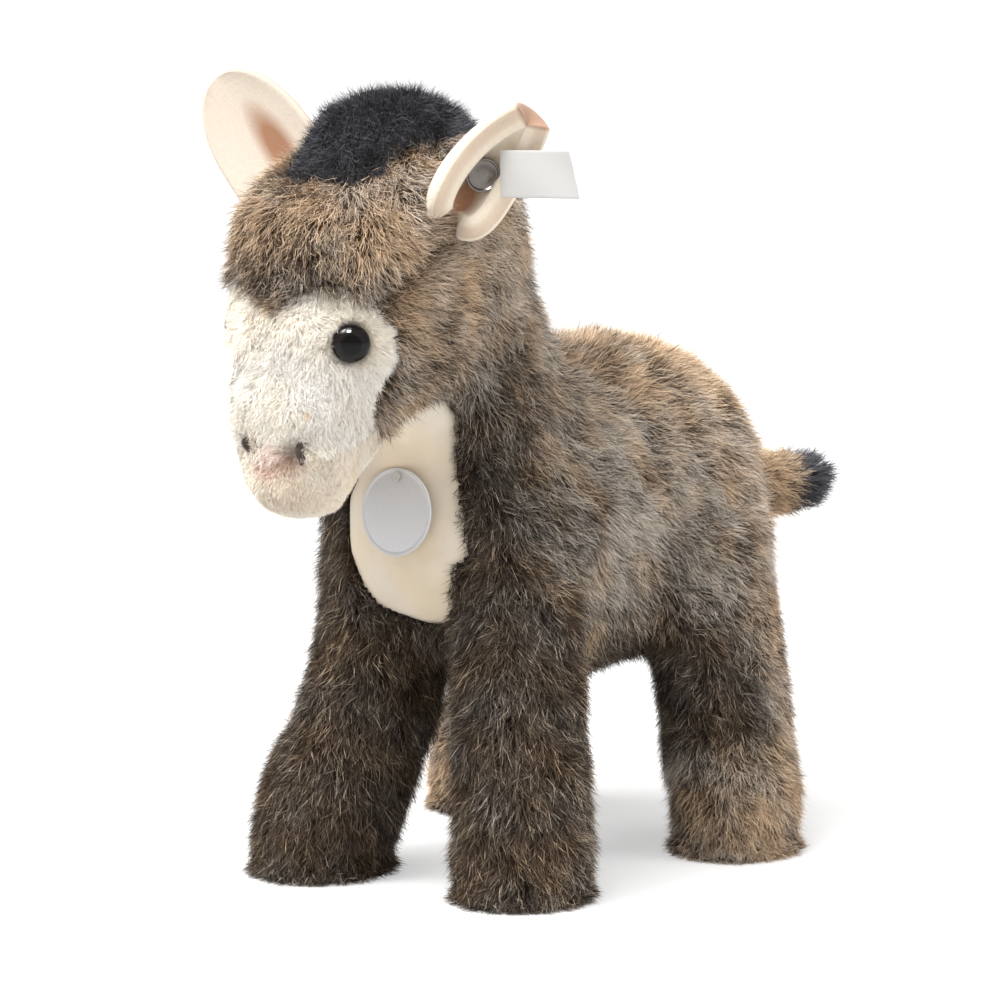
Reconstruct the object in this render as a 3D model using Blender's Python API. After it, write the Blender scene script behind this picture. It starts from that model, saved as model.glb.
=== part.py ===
"""A stuffed plush donkey, about 24 cm tall, standing on four stubby legs.

The plush body is modelled whole, out to the tips of its pile, from a few rounded masses and lofted limbs.
They are fused, smoothed and then parted with thin cuts into the pieces that a person would name.
Frame: metres, +Z up, the donkey looks along -Y, its left side is at +X, and it stands on Z = 0.
Sizes below are millimetres, in a sketch whose ground is SOLE_LEVEL; finish() moves the model to its frame.
"""

import math

import bmesh
import bpy
from mathutils import Matrix, Vector
from mathutils.bvhtree import BVHTree

MM = 0.001

# Driving sizes, in millimetres ---------------------------------------------------------------------------

GAP = 0.35  # clear space left by each cut
VOXEL = 3.0  # grain of the fused plush body
SMOOTHING = 7  # passes that round the joins between limbs
BODY_FACES = 2450  # triangles of the whole plush body before it is parted
MASK_VOXEL = 2.0
MASK_SMOOTHING = 3
MASK_FACES = 220
SOLE_LEVEL = -2.3
MERGE = 0.01  # points nearer than this become one after a cut
DOME_STEPS = 4  # rings in each rounded end of a limb
RUN_UP = 8.0  # how far outside a site the search for the surface starts

LEGS = {  # middle line of each leg at hip, knee and foot, then half width and half depth of the foot
    "leg_front_left": ((25, -34, 98), (32, -42, 54), (35.5, -44.5, 12), (20.5, 22.5)),
    "leg_front_right": ((-21.5, -34, 98), (-20.5, -42.5, 54), (-32, -52, 12), (22.0, 23.5)),
    "leg_hind_left": ((26, 52, 92), (36, 52, 54), (47.5, 45, 12), (20.0, 22.5)),
    "leg_hind_right": ((-26, 52, 92), (-37, 54, 54), (-50, 50, 12), (20.0, 22.5)),
}
LEG_GROWTH = 4.0  # how far a leg's cutter stands outside the leg
LEG_TOP = 0.5  # where the leg's cutter ends, between its hip at 0 and its knee at 1

FOOT_RUN_ON = 5.0  # how far each leg runs on below the ground before the ground cuts it

HEAD_PIVOT = (0, -40, 165)
HEAD_ROLL = 4.0  # degrees that the head leans to its left
FACE_SPLIT = ((0, -115, 125.8), 26.0)  # a point of the seam over the chin, and degrees of rise to the back
CHIN_BACK = -87.0

HEAD_CUT = ((0, -35, 162), 45.0)  # a point of the cut, and its rise to the back in degrees
NECK_CUT = ((0, -25, 121), 38.0)

EYE_DIAMETER = 10.5
EYE_DEPTH = 7.0
EYE_SITE = (22.5, -103.0, 160.5)
EYE_TURN = 42.0  # degrees between the eye's outlook and straight ahead
EYE_SINK = 1.0  # how far the eye's middle lies under the pile's tips

NOSTRIL_MIDDLE = 1.3
NOSTRIL_SITE = (7.5, -107.5, 130.0)  # of the left one, from the middle
NOSTRIL_RADII = (2.3, 2.2, 3.8)
NOSTRIL_SINK = 1.2

TAIL_LINE = ((0, 80, 106), (5, 96, 102.5), (12, 112, 100.5), (18, 123.5, 101), (20, 128, 102))
TAIL_RADII = (13.0, 12.5, 12.0, 10.5, 9.0)
TAIL_ROOT = 95.0  # how far back the tail is parted from the rump
TAIL_TIP_START = (15.5, 119.0, 101.0)
TAIL_TIP_TURN = 27.0  # degrees that the tail's end turns to its left

EARS = {  # the azimuth is where its hollow looks to; curl in degrees at its base and at its tip
    "ear_right": {
        "base": (-24.0, -75.0, 194.0), "tip": (-55.0, -69.0, 230.0), "azimuth": 26.0,
        "half_width": 16.0, "taper": 0.0, "curl": (85.0, 50.0), "thick": 2.6, "bend": 2.0, "stem": 5.0,
    },
    "ear_left": {
        "base": (30.2, -72.1, 192.7), "tip": (54.7, -64.6, 220.7), "azimuth": 62.0,
        "half_width": 18.0, "taper": 0.5, "curl": (250.0, 200.0), "thick": 7.2, "bend": 7.0, "stem": 1.5,
    },
}
BUTTON_RADIUS = 4.8
BUTTON_THICK = 1.6
BUTTON_RIM = 0.45
BUTTON_HEIGHT = 0.36  # along the ear, from 0 at its base to 1 at its tip
BUTTON_LIFT = 6.8  # from the middle of the ear's cloth to the middle of the button
FLAG_LENGTH = 21.0
FLAG_HEIGHT = 12.8
FLAG_SLANT = 3.2
FLAG_THICK = 0.8
FLAG_START = 6.0  # from the middle of the button to the ribbon's near end
FLAG_TURN = 8.0  # degrees that the flag's line turns back from straight out to the side
FLAG_WAVE = 0.8

TAG_DIAMETER = 25.0
TAG_THICK = 0.9
TAG_SITE = (4.8, -63.2, 108.0)
TAG_TILT = 6.0  # degrees that its face looks up
TAG_PROUD = 1.2  # how far its middle stands out from the pile's tips
PIN_RADIUS = 0.7
PIN_LENGTH = 6.0
PIN_SET = 1.6  # how far the pin's middle lies behind the tag
PIN_INSET = 2.6  # from the tag's edge to the pin
PIN_HEAD_RADIUS = 1.5
PIN_HEAD_THICK = 0.8
PIN_HEAD_RIM = 0.2


def mm(point):
    """A point in metres, from millimetres."""
    return Vector(point) * MM


# Materials ------------------------------------------------------------------------------------------------

PLUSH_BROWN = ("plush_brown", (0.30, 0.22, 0.155), 0.95, 0.0)
PLUSH_WHITE = ("plush_white", (0.86, 0.82, 0.75), 0.95, 0.0)
PLUSH_BLACK = ("plush_black", (0.03, 0.03, 0.04), 0.95, 0.0)
VELOUR_CREAM = ("velour_cream", (0.84, 0.74, 0.60), 0.9, 0.0)
EYE_BLACK = ("eye_black", (0.01, 0.008, 0.007), 0.08, 0.0)
THREAD_BROWN = ("thread_brown", (0.09, 0.05, 0.035), 0.8, 0.0)
METAL_NICKEL = ("metal_nickel", (0.62, 0.58, 0.54), 0.3, 1.0)
RIBBON_WHITE = ("ribbon_white", (0.85, 0.84, 0.82), 0.7, 0.0)
CARD_WHITE = ("card_white", (0.80, 0.81, 0.83), 0.5, 0.0)
PLASTIC_CLEAR = ("plastic_clear", (0.85, 0.84, 0.80), 0.3, 0.0)


def material(recipe):
    """The Principled material of that name, made once."""
    name, colour, roughness, metallic = recipe
    found = bpy.data.materials.get(name)
    if found:
        return found
    made = bpy.data.materials.new(name)
    made.use_nodes = True
    made.diffuse_color = (*colour, 1.0)
    shader = made.node_tree.nodes["Principled BSDF"]
    shader.inputs["Base Color"].default_value = (*colour, 1.0)
    shader.inputs["Roughness"].default_value = roughness
    shader.inputs["Metallic"].default_value = metallic
    return made


# Modelling helpers ----------------------------------------------------------------------------------------


def clear_scene():
    for obj in list(bpy.data.objects):
        bpy.data.objects.remove(obj, do_unlink=True)


def discard(*objects):
    for obj in objects:
        bpy.data.objects.remove(obj, do_unlink=True)


def add_object(name, mesh):
    obj = bpy.data.objects.new(name, mesh)
    bpy.context.scene.collection.objects.link(obj)
    return obj


def from_bmesh(name, bm):
    bm.normal_update()
    bmesh.ops.recalc_face_normals(bm, faces=bm.faces)
    mesh = bpy.data.meshes.new(name)
    bm.to_mesh(mesh)
    bm.free()
    return add_object(name, mesh)


def painted(obj, recipe):
    obj.data.materials.clear()
    obj.data.materials.append(material(recipe))
    return obj


def turned(pivot, degrees, axis="X"):
    """The matrix that turns about an axis through a pivot in millimetres."""
    shift = Matrix.Translation(mm(pivot))
    return shift @ Matrix.Rotation(math.radians(degrees), 4, axis) @ shift.inverted()


HEAD_LEAN = turned(HEAD_PIVOT, HEAD_ROLL, "Y")


def rounded_mass(name, centre, radii, lean=0.0, power=2.0, segments=32):
    """An ellipsoid of these radii, boxier as power rises above 2, leaning nose-down by so many degrees."""
    bm = bmesh.new()
    bmesh.ops.create_uvsphere(bm, u_segments=segments, v_segments=segments // 2, radius=1.0)
    for vert in bm.verts:
        total = sum(abs(part) ** power for part in vert.co)
        vert.co = vert.co * total ** (-1.0 / power)
    turn = Matrix.Rotation(math.radians(lean), 4, "X")
    bm.transform(Matrix.Translation(mm(centre)) @ turn @ Matrix.Diagonal((*mm(radii), 1.0)))
    return from_bmesh(name, bm)


def block(name, low, high, turn=None, grow=0.0):
    """A box between two corners in millimetres, larger by grow on every side, moved by the matrix turn."""
    bm = bmesh.new()
    size = Vector(high) - Vector(low) + Vector((2 * grow, 2 * grow, 2 * grow))
    centre = (Vector(high) + Vector(low)) / 2
    place = Matrix.Translation(mm(centre)) @ Matrix.Diagonal((*mm(size), 1.0))
    bmesh.ops.create_cube(bm, size=1.0, matrix=place)
    if turn:
        bm.transform(turn)
    return from_bmesh(name, bm)


def disc(name, radius, thick, place, segments=32, rim=0.0):
    """A round plate about its own Z axis, with its edges bevelled by rim, moved by the matrix place."""
    bm = bmesh.new()
    bmesh.ops.create_cone(
        bm, cap_ends=True, segments=segments, radius1=radius * MM, radius2=radius * MM, depth=thick * MM
    )
    if rim:
        edges = [edge for edge in bm.edges if len(edge.link_faces) == 2 and edge.calc_face_angle() > 1.0]
        bmesh.ops.bevel(bm, geom=edges, offset=rim * MM, segments=1, profile=0.5, affect="EDGES")
    bm.transform(place)
    return from_bmesh(name, bm)


def curve_point(values, t):
    """Catmull-Rom through the rows of values, with t from 0 to the last row's number."""
    i = min(int(t), len(values) - 2)
    f = t - i
    rows = [values[max(0, min(len(values) - 1, j))] for j in (i - 1, i, i + 1, i + 2)]
    weights = (
        -0.5 * f + f * f - 0.5 * f**3,
        1.0 - 2.5 * f * f + 1.5 * f**3,
        0.5 * f + 2.0 * f * f - 1.5 * f**3,
        -0.5 * f * f + 0.5 * f**3,
    )
    return [sum(w * row[k] for w, row in zip(weights, rows)) for k in range(len(values[0]))]


def loft(name, stations, sides=24, steps=4, cap=0.6, grow=0.0):
    """A limb through stations of (x, y, z, half width, half depth), in millimetres, with domed ends.

    Width runs left to right, and depth runs square to both the width and the limb's own line.
    A dome is cap times as long as the half depth there. grow makes the limb stouter all round."""
    last = len(stations) - 1
    rows = [curve_point(stations, i / steps) for i in range(last * steps + 1)]
    points = [Vector(row[:3]) for row in rows]
    count = len(points)
    tangents = [(points[min(i + 1, count - 1)] - points[max(i - 1, 0)]).normalized() for i in range(count)]

    def dome(end, sign, order):
        rings = []
        for k in order:
            a = math.pi / 2 * k / DOME_STEPS
            centre = points[end] + tangents[end] * (sign * cap * (rows[end][4] + grow) * math.sin(a))
            rings.append((centre, tangents[end], rows[end][3] + grow, rows[end][4] + grow, math.cos(a)))
        return rings

    rings = dome(0, -1, range(DOME_STEPS - 1, 0, -1))
    rings += [(p, t, row[3] + grow, row[4] + grow, 1.0) for p, t, row in zip(points, tangents, rows)]
    rings += dome(-1, 1, range(1, DOME_STEPS))
    bm = bmesh.new()
    loops = []
    for point, tangent, wide, deep, shrink in rings:
        across = (Vector((1, 0, 0)) - tangent * tangent.x).normalized()
        along = tangent.cross(across)
        loop = []
        for s in range(sides):
            a = 2 * math.pi * s / sides
            offset = across * (wide * math.cos(a)) + along * (deep * math.sin(a))
            loop.append(bm.verts.new(mm(point + offset * shrink)))
        loops.append(loop)
    for lower, upper in zip(loops, loops[1:]):
        for s in range(sides):
            n = (s + 1) % sides
            bm.faces.new((lower[s], lower[n], upper[n], upper[s]))
    for loop, sign, end in ((loops[0], -1, 0), (loops[-1], 1, -1)):
        tip = bm.verts.new(mm(points[end] + tangents[end] * (sign * cap * (rows[end][4] + grow))))
        for s in range(sides):
            bm.faces.new((loop[s], loop[(s + 1) % sides], tip))
    return from_bmesh(name, bm)


def settle(obj):
    """Applies obj's modifiers."""
    graph = bpy.context.evaluated_depsgraph_get()
    graph.update()
    mesh = bpy.data.meshes.new_from_object(obj.evaluated_get(graph))
    obj.modifiers.clear()
    obj.data = mesh
    return obj


def duplicate(obj, name):
    return add_object(name, obj.data.copy())


def fuse(name, shapes, voxel, smoothing, faces):
    """One closed skin round all the shapes, with rounded joins."""
    bm = bmesh.new()
    for shape in shapes:
        bm.from_mesh(shape.data)
    discard(*shapes)
    obj = from_bmesh(name, bm)
    remesh = obj.modifiers.new("fuse", "REMESH")
    remesh.mode = "VOXEL"
    remesh.voxel_size = voxel * MM
    smooth = obj.modifiers.new("smooth", "SMOOTH")
    smooth.factor = 0.5
    smooth.iterations = smoothing
    settle(obj)
    thin = obj.modifiers.new("thin", "DECIMATE")
    thin.ratio = min(1.0, faces / (2 * len(obj.data.polygons)))
    return settle(obj)


def mend(obj):
    """Merges the specks that a cut leaves and splits its faces into triangles, ready for the next cut."""
    bm = bmesh.new()
    bm.from_mesh(obj.data)
    bmesh.ops.remove_doubles(bm, verts=bm.verts, dist=MERGE * MM)
    bmesh.ops.dissolve_degenerate(bm, edges=bm.edges, dist=MERGE * MM / 2)
    bmesh.ops.triangulate(bm, faces=bm.faces)
    bm.to_mesh(obj.data)
    bm.free()


def boolean(obj, cutter, operation):
    """obj with the cutter's shape taken out (DIFFERENCE) or kept (INTERSECT)."""
    modifier = obj.modifiers.new("cut", "BOOLEAN")
    modifier.operation = operation
    modifier.object = cutter
    modifier.solver = "EXACT"
    settle(obj)
    mend(obj)
    return obj


def inflated(obj, by=GAP):
    """A copy of obj whose surface stands out by so many millimetres."""
    copy = duplicate(obj, obj.name + "_inflated")
    swell = copy.modifiers.new("swell", "DISPLACE")
    swell.strength = by * MM
    swell.mid_level = 0.0
    return settle(copy)


def on_surface(obj, site, direction):
    """The point of obj's surface met from just outside the site, along the direction."""
    points = [vert.co for vert in obj.data.vertices]
    tree = BVHTree.FromPolygons(points, [face.vertices for face in obj.data.polygons])
    ahead = Vector(direction).normalized()
    return tree.ray_cast(Vector(site) - ahead * (RUN_UP * MM), ahead)[0]


def cleared(obj, *others):
    """obj with room made for the others, which stay as they are."""
    for other in others:
        cutter = inflated(other)
        boolean(obj, cutter, "DIFFERENCE")
        discard(cutter)
    return obj


def largest_part(obj):
    """Drops the crumbs that a cut can leave."""
    bm = bmesh.new()
    bm.from_mesh(obj.data)
    bm.verts.ensure_lookup_table()
    left = set(bm.verts)
    parts = []
    while left:
        seed = left.pop()
        part = {seed}
        front = [seed]
        while front:
            vert = front.pop()
            for edge in vert.link_edges:
                other = edge.other_vert(vert)
                if other in left:
                    left.remove(other)
                    part.add(other)
                    front.append(other)
        parts.append(part)
    parts.sort(key=len, reverse=True)
    for crumb in parts[1:]:
        bmesh.ops.delete(bm, geom=list(crumb), context="VERTS")
    bm.to_mesh(obj.data)
    bm.free()
    return obj


def carve(body, name, make_cutter, recipe):
    """Parts off what lies inside a cutter as its own piece, and leaves a thin gap round it.

    make_cutter(grow) gives the cutter, larger by grow millimetres on every side."""
    piece = duplicate(body, name)
    for obj, grow, operation in ((piece, 0.0, "INTERSECT"), (body, GAP, "DIFFERENCE")):
        cutter = make_cutter(grow)
        boolean(obj, cutter, operation)
        discard(cutter)
    return painted(largest_part(piece), recipe)


# The whole plush body -------------------------------------------------------------------------------------


def leg_stations(name):
    """A stubby column from the hip down to the foot, which runs on below the ground."""
    hip, knee, foot, (wide, deep) = LEGS[name]
    hind = "hind" in name
    return [
        (*hip, wide * (1.0 if hind else 0.82), deep * (1.35 if hind else 0.95)),
        (*knee, wide * 0.93, deep * (1.12 if hind else 0.92)),
        (*foot, wide, deep),
        (foot[0], foot[1], SOLE_LEVEL - FOOT_RUN_ON, wide * 0.99, deep * 0.99),
    ]


def trunk_and_neck():
    trunk = [
        (1, -44, 97, 39.5, 33),
        (1, -26, 100, 41, 46),
        (1, 8, 101.5, 40, 50.5),
        (0, 40, 102.5, 41, 50.5),
        (0, 62, 102.5, 41, 46.5),
        (0, 74, 101.5, 35, 39.5),
    ]
    neck = [
        (1, -20, 104, 37, 38),
        (1, -30, 132, 32, 34),
        (0, -39, 158, 29, 32),
        (0, -47, 184, 28, 31),
    ]
    return [loft("trunk_loft", trunk, cap=0.55), loft("neck_loft", neck, cap=0.5)]


def head_masses():
    masses = [
        rounded_mass("cranium", (0, -65, 182), (32.5, 46, 32), lean=12, power=2.7),
        rounded_mass("cheeks", (0, -76, 160), (31, 39, 25), power=2.3),
        rounded_mass("bridge", (0, -93.5, 143), (24, 21, 24), power=2.2),
        rounded_mass("muzzle_bulb", (0.5, -90.5, 129), (20.5, 20.5, 20), power=2.2),
    ]
    for mass in masses:
        mass.data.transform(HEAD_LEAN)
    return masses


def tail_stations():
    return [(*point, radius, radius) for point, radius in zip(TAIL_LINE, TAIL_RADII)]


def whole_body():
    shapes = trunk_and_neck() + head_masses()
    shapes += [loft(name + "_loft", leg_stations(name), cap=0.3) for name in LEGS]
    shapes.append(loft("tail_loft", tail_stations(), cap=0.8))
    body = fuse("body", shapes, VOXEL, SMOOTHING, BODY_FACES)
    ground = block("ground", (-200, -250, SOLE_LEVEL - 100), (200, 250, SOLE_LEVEL))
    boolean(body, ground, "DIFFERENCE")
    discard(ground)
    return body


# Cutters that part the body --------------------------------------------------------------------------------


def above_plane(point, degrees, grow):
    """All that lies above a plane through the point, which rises to the back by so many degrees."""
    turn = Matrix.Translation(mm(point)) @ Matrix.Rotation(math.radians(degrees), 4, "X")
    return block("plane_cutter", (-150, -250, 0), (150, 250, 250), turn, grow)


def head_cutter(grow):
    return above_plane(HEAD_CUT[0], HEAD_CUT[1], grow)


def neck_cutter(grow):
    return above_plane(NECK_CUT[0], NECK_CUT[1], grow)


def swollen(cutter, grow):
    """The cutter itself, or one that stands grow millimetres outside it."""
    if not grow:
        return cutter
    grown = inflated(cutter, grow)
    discard(cutter)
    return grown


def chin_cutter(grow):
    point, rise = FACE_SPLIT
    turn = Matrix.Translation(mm(point)) @ Matrix.Rotation(math.radians(rise), 4, "X")
    reach = (CHIN_BACK - point[1]) / math.cos(math.radians(rise))
    return block("chin_cutter", (-40, -30, -60), (40, reach, 0), HEAD_LEAN @ turn, grow)


def mask_cutter(grow):
    """Two round patches about the eyes, and the front of the face between and below them."""
    patches = [
        rounded_mass("patch_left", (18.5, -107, 157), (21, 19.5, 18.5)),
        rounded_mass("patch_right", (-18, -108, 157), (21, 19.5, 18.5)),
        rounded_mass("patch_nose", (1, -110, 140), (31, 22, 29), power=2.6),
    ]
    for patch in patches:
        patch.data.transform(HEAD_LEAN)
    return swollen(fuse("mask_cutter", patches, MASK_VOXEL, MASK_SMOOTHING, MASK_FACES), grow)


def bib_cutter(grow):
    stations = [
        (2, -60, 146, 16, 14),
        (4.5, -63, 128, 21, 13),
        (5, -66, 108, 25.5, 13),
        (5.5, -62, 93, 23, 13),
        (7, -58, 86, 18, 13),
        (11, -53, 80.5, 9, 12),
    ]
    return swollen(loft("bib_cutter", stations, sides=16, steps=2, cap=0.4), grow)


def leg_cutter(name):
    """Cutters for one leg: they stand a little outside it and end in a dome below its hip."""

    def make(grow):
        hip, *rest = leg_stations(name)
        knee = rest[0]
        top = [a + (b - a) * LEG_TOP for a, b in zip(hip, knee)]
        return loft("leg_cutter", [top, *rest], sides=16, steps=1, cap=0.5, grow=LEG_GROWTH + grow)

    return make


def tail_cutter(grow):
    return block("tail_cutter", (-40, TAIL_ROOT, 60), (60, 200, 150), grow=grow)


def tail_tip_cutter(grow):
    turn = Matrix.Translation(mm(TAIL_TIP_START)) @ Matrix.Rotation(math.radians(-TAIL_TIP_TURN), 4, "Z")
    return block("tail_tip_cutter", (-40, 0, -40), (40, 60, 40), turn, grow)


# Pieces fixed to the body ----------------------------------------------------------------------------------


def mane(body):
    stations = [
        (1, -91, 205, 14.5, 9),
        (0.5, -82, 212, 15, 12),
        (-0.5, -67, 217, 15, 11.5),
        (-1.5, -48, 217, 14, 10.5),
        (-1, -31, 209, 11.5, 10),
        (0, -17, 194, 9, 9),
        (0, -9, 175, 8, 8.5),
        (0, -2, 158, 7, 7),
        (0, 10, 149, 6, 5),
    ]
    shape = loft("mane", stations, sides=16, steps=2, cap=0.7)
    shape.data.transform(HEAD_LEAN)
    return painted(largest_part(cleared(shape, body)), PLUSH_BLACK)


def ear_frame(name):
    """The ear's base, the line to its tip, the way its hollow looks and the way across it."""
    ear = EARS[name]
    base = Vector(ear["base"])
    line = Vector(ear["tip"]) - base
    along = line.normalized()
    turn = math.radians(ear["azimuth"])
    look = Vector((math.sin(turn), -math.cos(turn), 0.0))
    look = (look - along * look.dot(along)).normalized()
    return base, line, look, along.cross(look)


def ear_middle(name, s):
    """A point of the ear's middle line, which stands back from the line between its ends."""
    base, line, look, _ = ear_frame(name)
    return base + line * s - look * (EARS[name]["bend"] * 4.0 * s * (1.0 - s))


def ear_floor(name, s, lift):
    """A point over the floor of the ear's hollow, and the way the floor looks there."""
    _, line, look, _ = ear_frame(name)
    slope = EARS[name]["bend"] * 4.0 * (1.0 - 2.0 * s)
    out = (look * line.length + line.normalized() * slope).normalized()
    return ear_middle(name, s) + out * lift, out


def ear_width(name, s):
    """Half of the leaf's width at s: a stem that swells to an oval blade."""
    blade = math.sqrt(max(0.0, 1.0 - abs(2.0 * s**0.82 - 1.0) ** 2.4))
    blade *= 1.0 - EARS[name]["taper"] * s
    return EARS[name]["half_width"] * blade + EARS[name]["stem"] * (1.0 - s) ** 3


def ear_surface(name, rows=6, columns=8):
    """A cupped leaf with rounded rims, whose cross-section is an arc that opens towards its tip."""
    base, line, look, side = ear_frame(name)
    curl_base, curl_tip = EARS[name]["curl"]
    bm = bmesh.new()
    faces = ([], [])
    for i in range(rows):
        s = (i + 1) / (rows + 1)
        curl = math.radians(curl_tip + (curl_base - curl_tip) * (1.0 - s) ** 2)
        radius = 2.0 * ear_width(name, s) / curl
        loops = ([], [])
        for j in range(columns + 1):
            e = 2.0 * j / columns - 1.0
            a = e * curl / 2.0
            normal = look * math.cos(a) - side * math.sin(a)
            spot = ear_middle(name, s) + (look - normal) * radius
            half = EARS[name]["thick"] / 2 * math.sqrt(max(0.0, 1.0 - abs(e) ** 5))
            if j in (0, columns):
                rim = bm.verts.new(mm(spot))
                loops[0].append(rim)
                loops[1].append(rim)
            else:
                loops[0].append(bm.verts.new(mm(spot + normal * half)))
                loops[1].append(bm.verts.new(mm(spot - normal * half)))
        for grid, loop in zip(faces, loops):
            grid.append(loop)
    start = bm.verts.new(mm(base))
    end = bm.verts.new(mm(base + line))
    for grid in faces:
        for j in range(columns):
            for low, high in zip(grid, grid[1:]):
                bm.faces.new((low[j], low[j + 1], high[j + 1], high[j]))
            bm.faces.new((grid[-1][j], grid[-1][j + 1], end))
            bm.faces.new((grid[0][j], grid[0][j + 1], start))
    return from_bmesh(name, bm)


def ears(body, mane_piece):
    shapes = [ear_surface(name) for name in EARS]
    return [painted(largest_part(cleared(shape, body, mane_piece)), VELOUR_CREAM) for shape in shapes]


def ear_button():
    """A round metal stud on the floor of the left ear's hollow."""
    spot, out = ear_floor("ear_left", BUTTON_HEIGHT, BUTTON_LIFT)
    place = Matrix.Translation(mm(spot)) @ out.to_track_quat("Z", "Y").to_matrix().to_4x4()
    return painted(disc("ear_button", BUTTON_RADIUS, BUTTON_THICK, place, 16, BUTTON_RIM), METAL_NICKEL)


def ear_flag():
    """A short ribbon that starts behind the button and stands out to the side, with a slanted end."""
    spot, _ = ear_floor("ear_left", BUTTON_HEIGHT, BUTTON_LIFT - BUTTON_THICK / 2 - GAP)
    turn = math.radians(FLAG_TURN)
    out = Vector((math.cos(turn), math.sin(turn), 0.0))
    start = spot + out * FLAG_START
    normal = Vector((math.sin(turn), -math.cos(turn), 0.0))
    bm = bmesh.new()
    columns = 10
    rings = []
    for i in range(columns + 1):
        t = i / columns
        wave = FLAG_WAVE * math.sin(2.0 * math.pi * t)
        ring = []
        for rise, face in ((0.5, 0.5), (0.5, -0.5), (-0.5, -0.5), (-0.5, 0.5)):
            reach = t * (FLAG_LENGTH + FLAG_SLANT * (0.5 - rise))
            lift = normal * (wave + face * FLAG_THICK)
            spot = start + out * reach + lift + Vector((0, 0, rise * FLAG_HEIGHT))
            ring.append(bm.verts.new(mm(spot)))
        rings.append(ring)
    for low, high in zip(rings, rings[1:]):
        for k in range(4):
            n = (k + 1) % 4
            bm.faces.new((low[k], low[n], high[n], high[k]))
    bm.faces.new(rings[0])
    bm.faces.new(rings[-1])
    return painted(from_bmesh("ear_flag", bm), RIBBON_WHITE)


def eye(name, body, side):
    """A flattened ball whose short axis looks out of the head, set in the pile."""
    x, y, z = EYE_SITE
    forward = Matrix.Rotation(math.radians(90), 4, "X")
    outlook = Matrix.Rotation(math.radians(side * EYE_TURN), 4, "Z") @ forward
    turn = (HEAD_LEAN @ outlook).to_3x3().to_4x4()
    inward = turn @ Vector((0, 0, -1))
    spot = on_surface(body, HEAD_LEAN @ mm((side * x, y, z)), inward) + inward * (EYE_SINK * MM)
    bm = bmesh.new()
    bmesh.ops.create_uvsphere(bm, u_segments=14, v_segments=7, radius=1.0)
    radii = (EYE_DIAMETER / 2, EYE_DIAMETER / 2, EYE_DEPTH / 2)
    bm.transform(Matrix.Translation(spot) @ turn @ Matrix.Diagonal((*mm(radii), 1.0)))
    return painted(from_bmesh(name, bm), EYE_BLACK)


def nostril(name, body, side):
    x, y, z = NOSTRIL_SITE
    inward = Vector((-0.4 * side, 1.0, 0.0)).normalized()
    spot = on_surface(body, HEAD_LEAN @ mm((NOSTRIL_MIDDLE + side * x, y, z)), inward)
    pad = rounded_mass(name, (0, 0, 0), NOSTRIL_RADII, segments=10)
    pad.data.transform(Matrix.Translation(spot + inward * (NOSTRIL_SINK * MM)))
    return painted(pad, THREAD_BROWN)


def tag_and_pin(body):
    """The round card on the chest, and the small fastener that holds it at its top."""
    tilt = Matrix.Rotation(math.radians(90 - TAG_TILT), 4, "X")
    outward = tilt @ Vector((0, 0, 1))
    spot = on_surface(body, mm(TAG_SITE), -outward) + outward * (TAG_PROUD * MM)
    place = Matrix.Translation(spot) @ tilt
    card = disc("chest_tag", TAG_DIAMETER / 2, TAG_THICK, place)
    pin_place = place @ Matrix.Translation(mm((0, TAG_DIAMETER / 2 - PIN_INSET, 0)))
    stem_place = pin_place @ Matrix.Translation(mm((0, 0, -PIN_SET)))
    stem = disc("tag_pin", PIN_RADIUS, PIN_LENGTH, stem_place, 10)
    head_place = pin_place @ Matrix.Translation(mm((0, 0, (TAG_THICK + PIN_HEAD_THICK) / 2 + GAP)))
    head = disc("pin_head", PIN_HEAD_RADIUS, PIN_HEAD_THICK, head_place, 12, PIN_HEAD_RIM)
    boolean(stem, head, "UNION")
    discard(head)
    return painted(card, CARD_WHITE), painted(stem, PLASTIC_CLEAR)


def finish():
    """Moves the model so that its bounding box stands centred on the frame's origin."""
    meshes = [obj.data for obj in bpy.data.objects]
    points = [vert.co for mesh in meshes for vert in mesh.vertices]
    low = Vector([min(point[k] for point in points) for k in range(3)])
    high = Vector([max(point[k] for point in points) for k in range(3)])
    shift = Matrix.Translation((-(low.x + high.x) / 2, -(low.y + high.y) / 2, -low.z))
    for mesh in meshes:
        mesh.transform(shift)


def main():
    clear_scene()
    body = whole_body()
    mane_piece = mane(body)
    right, left = ears(body, mane_piece)
    button = ear_button()
    flag = ear_flag()
    cleared(flag, button)
    cleared(left, button, flag)
    eyes = [eye("eye_left", body, 1), eye("eye_right", body, -1)]
    nostrils = [nostril("nostril_left", body, 1), nostril("nostril_right", body, -1)]
    card, pin = tag_and_pin(body)
    cleared(card, pin)
    cleared(body, *eyes, *nostrils, card, pin)
    carve(body, "bib", bib_cutter, VELOUR_CREAM)
    carve(body, "muzzle", chin_cutter, VELOUR_CREAM)
    carve(body, "face_mask", mask_cutter, PLUSH_WHITE)
    carve(body, "head", head_cutter, PLUSH_BROWN)
    carve(body, "neck", neck_cutter, PLUSH_BROWN)
    tail = carve(body, "tail", tail_cutter, PLUSH_BROWN)
    carve(tail, "tail_tip", tail_tip_cutter, PLUSH_BLACK)
    for name in LEGS:
        carve(body, name, leg_cutter(name), PLUSH_BROWN)
    body.name = "trunk"
    painted(largest_part(body), PLUSH_BROWN)
    finish()


main()
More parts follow.
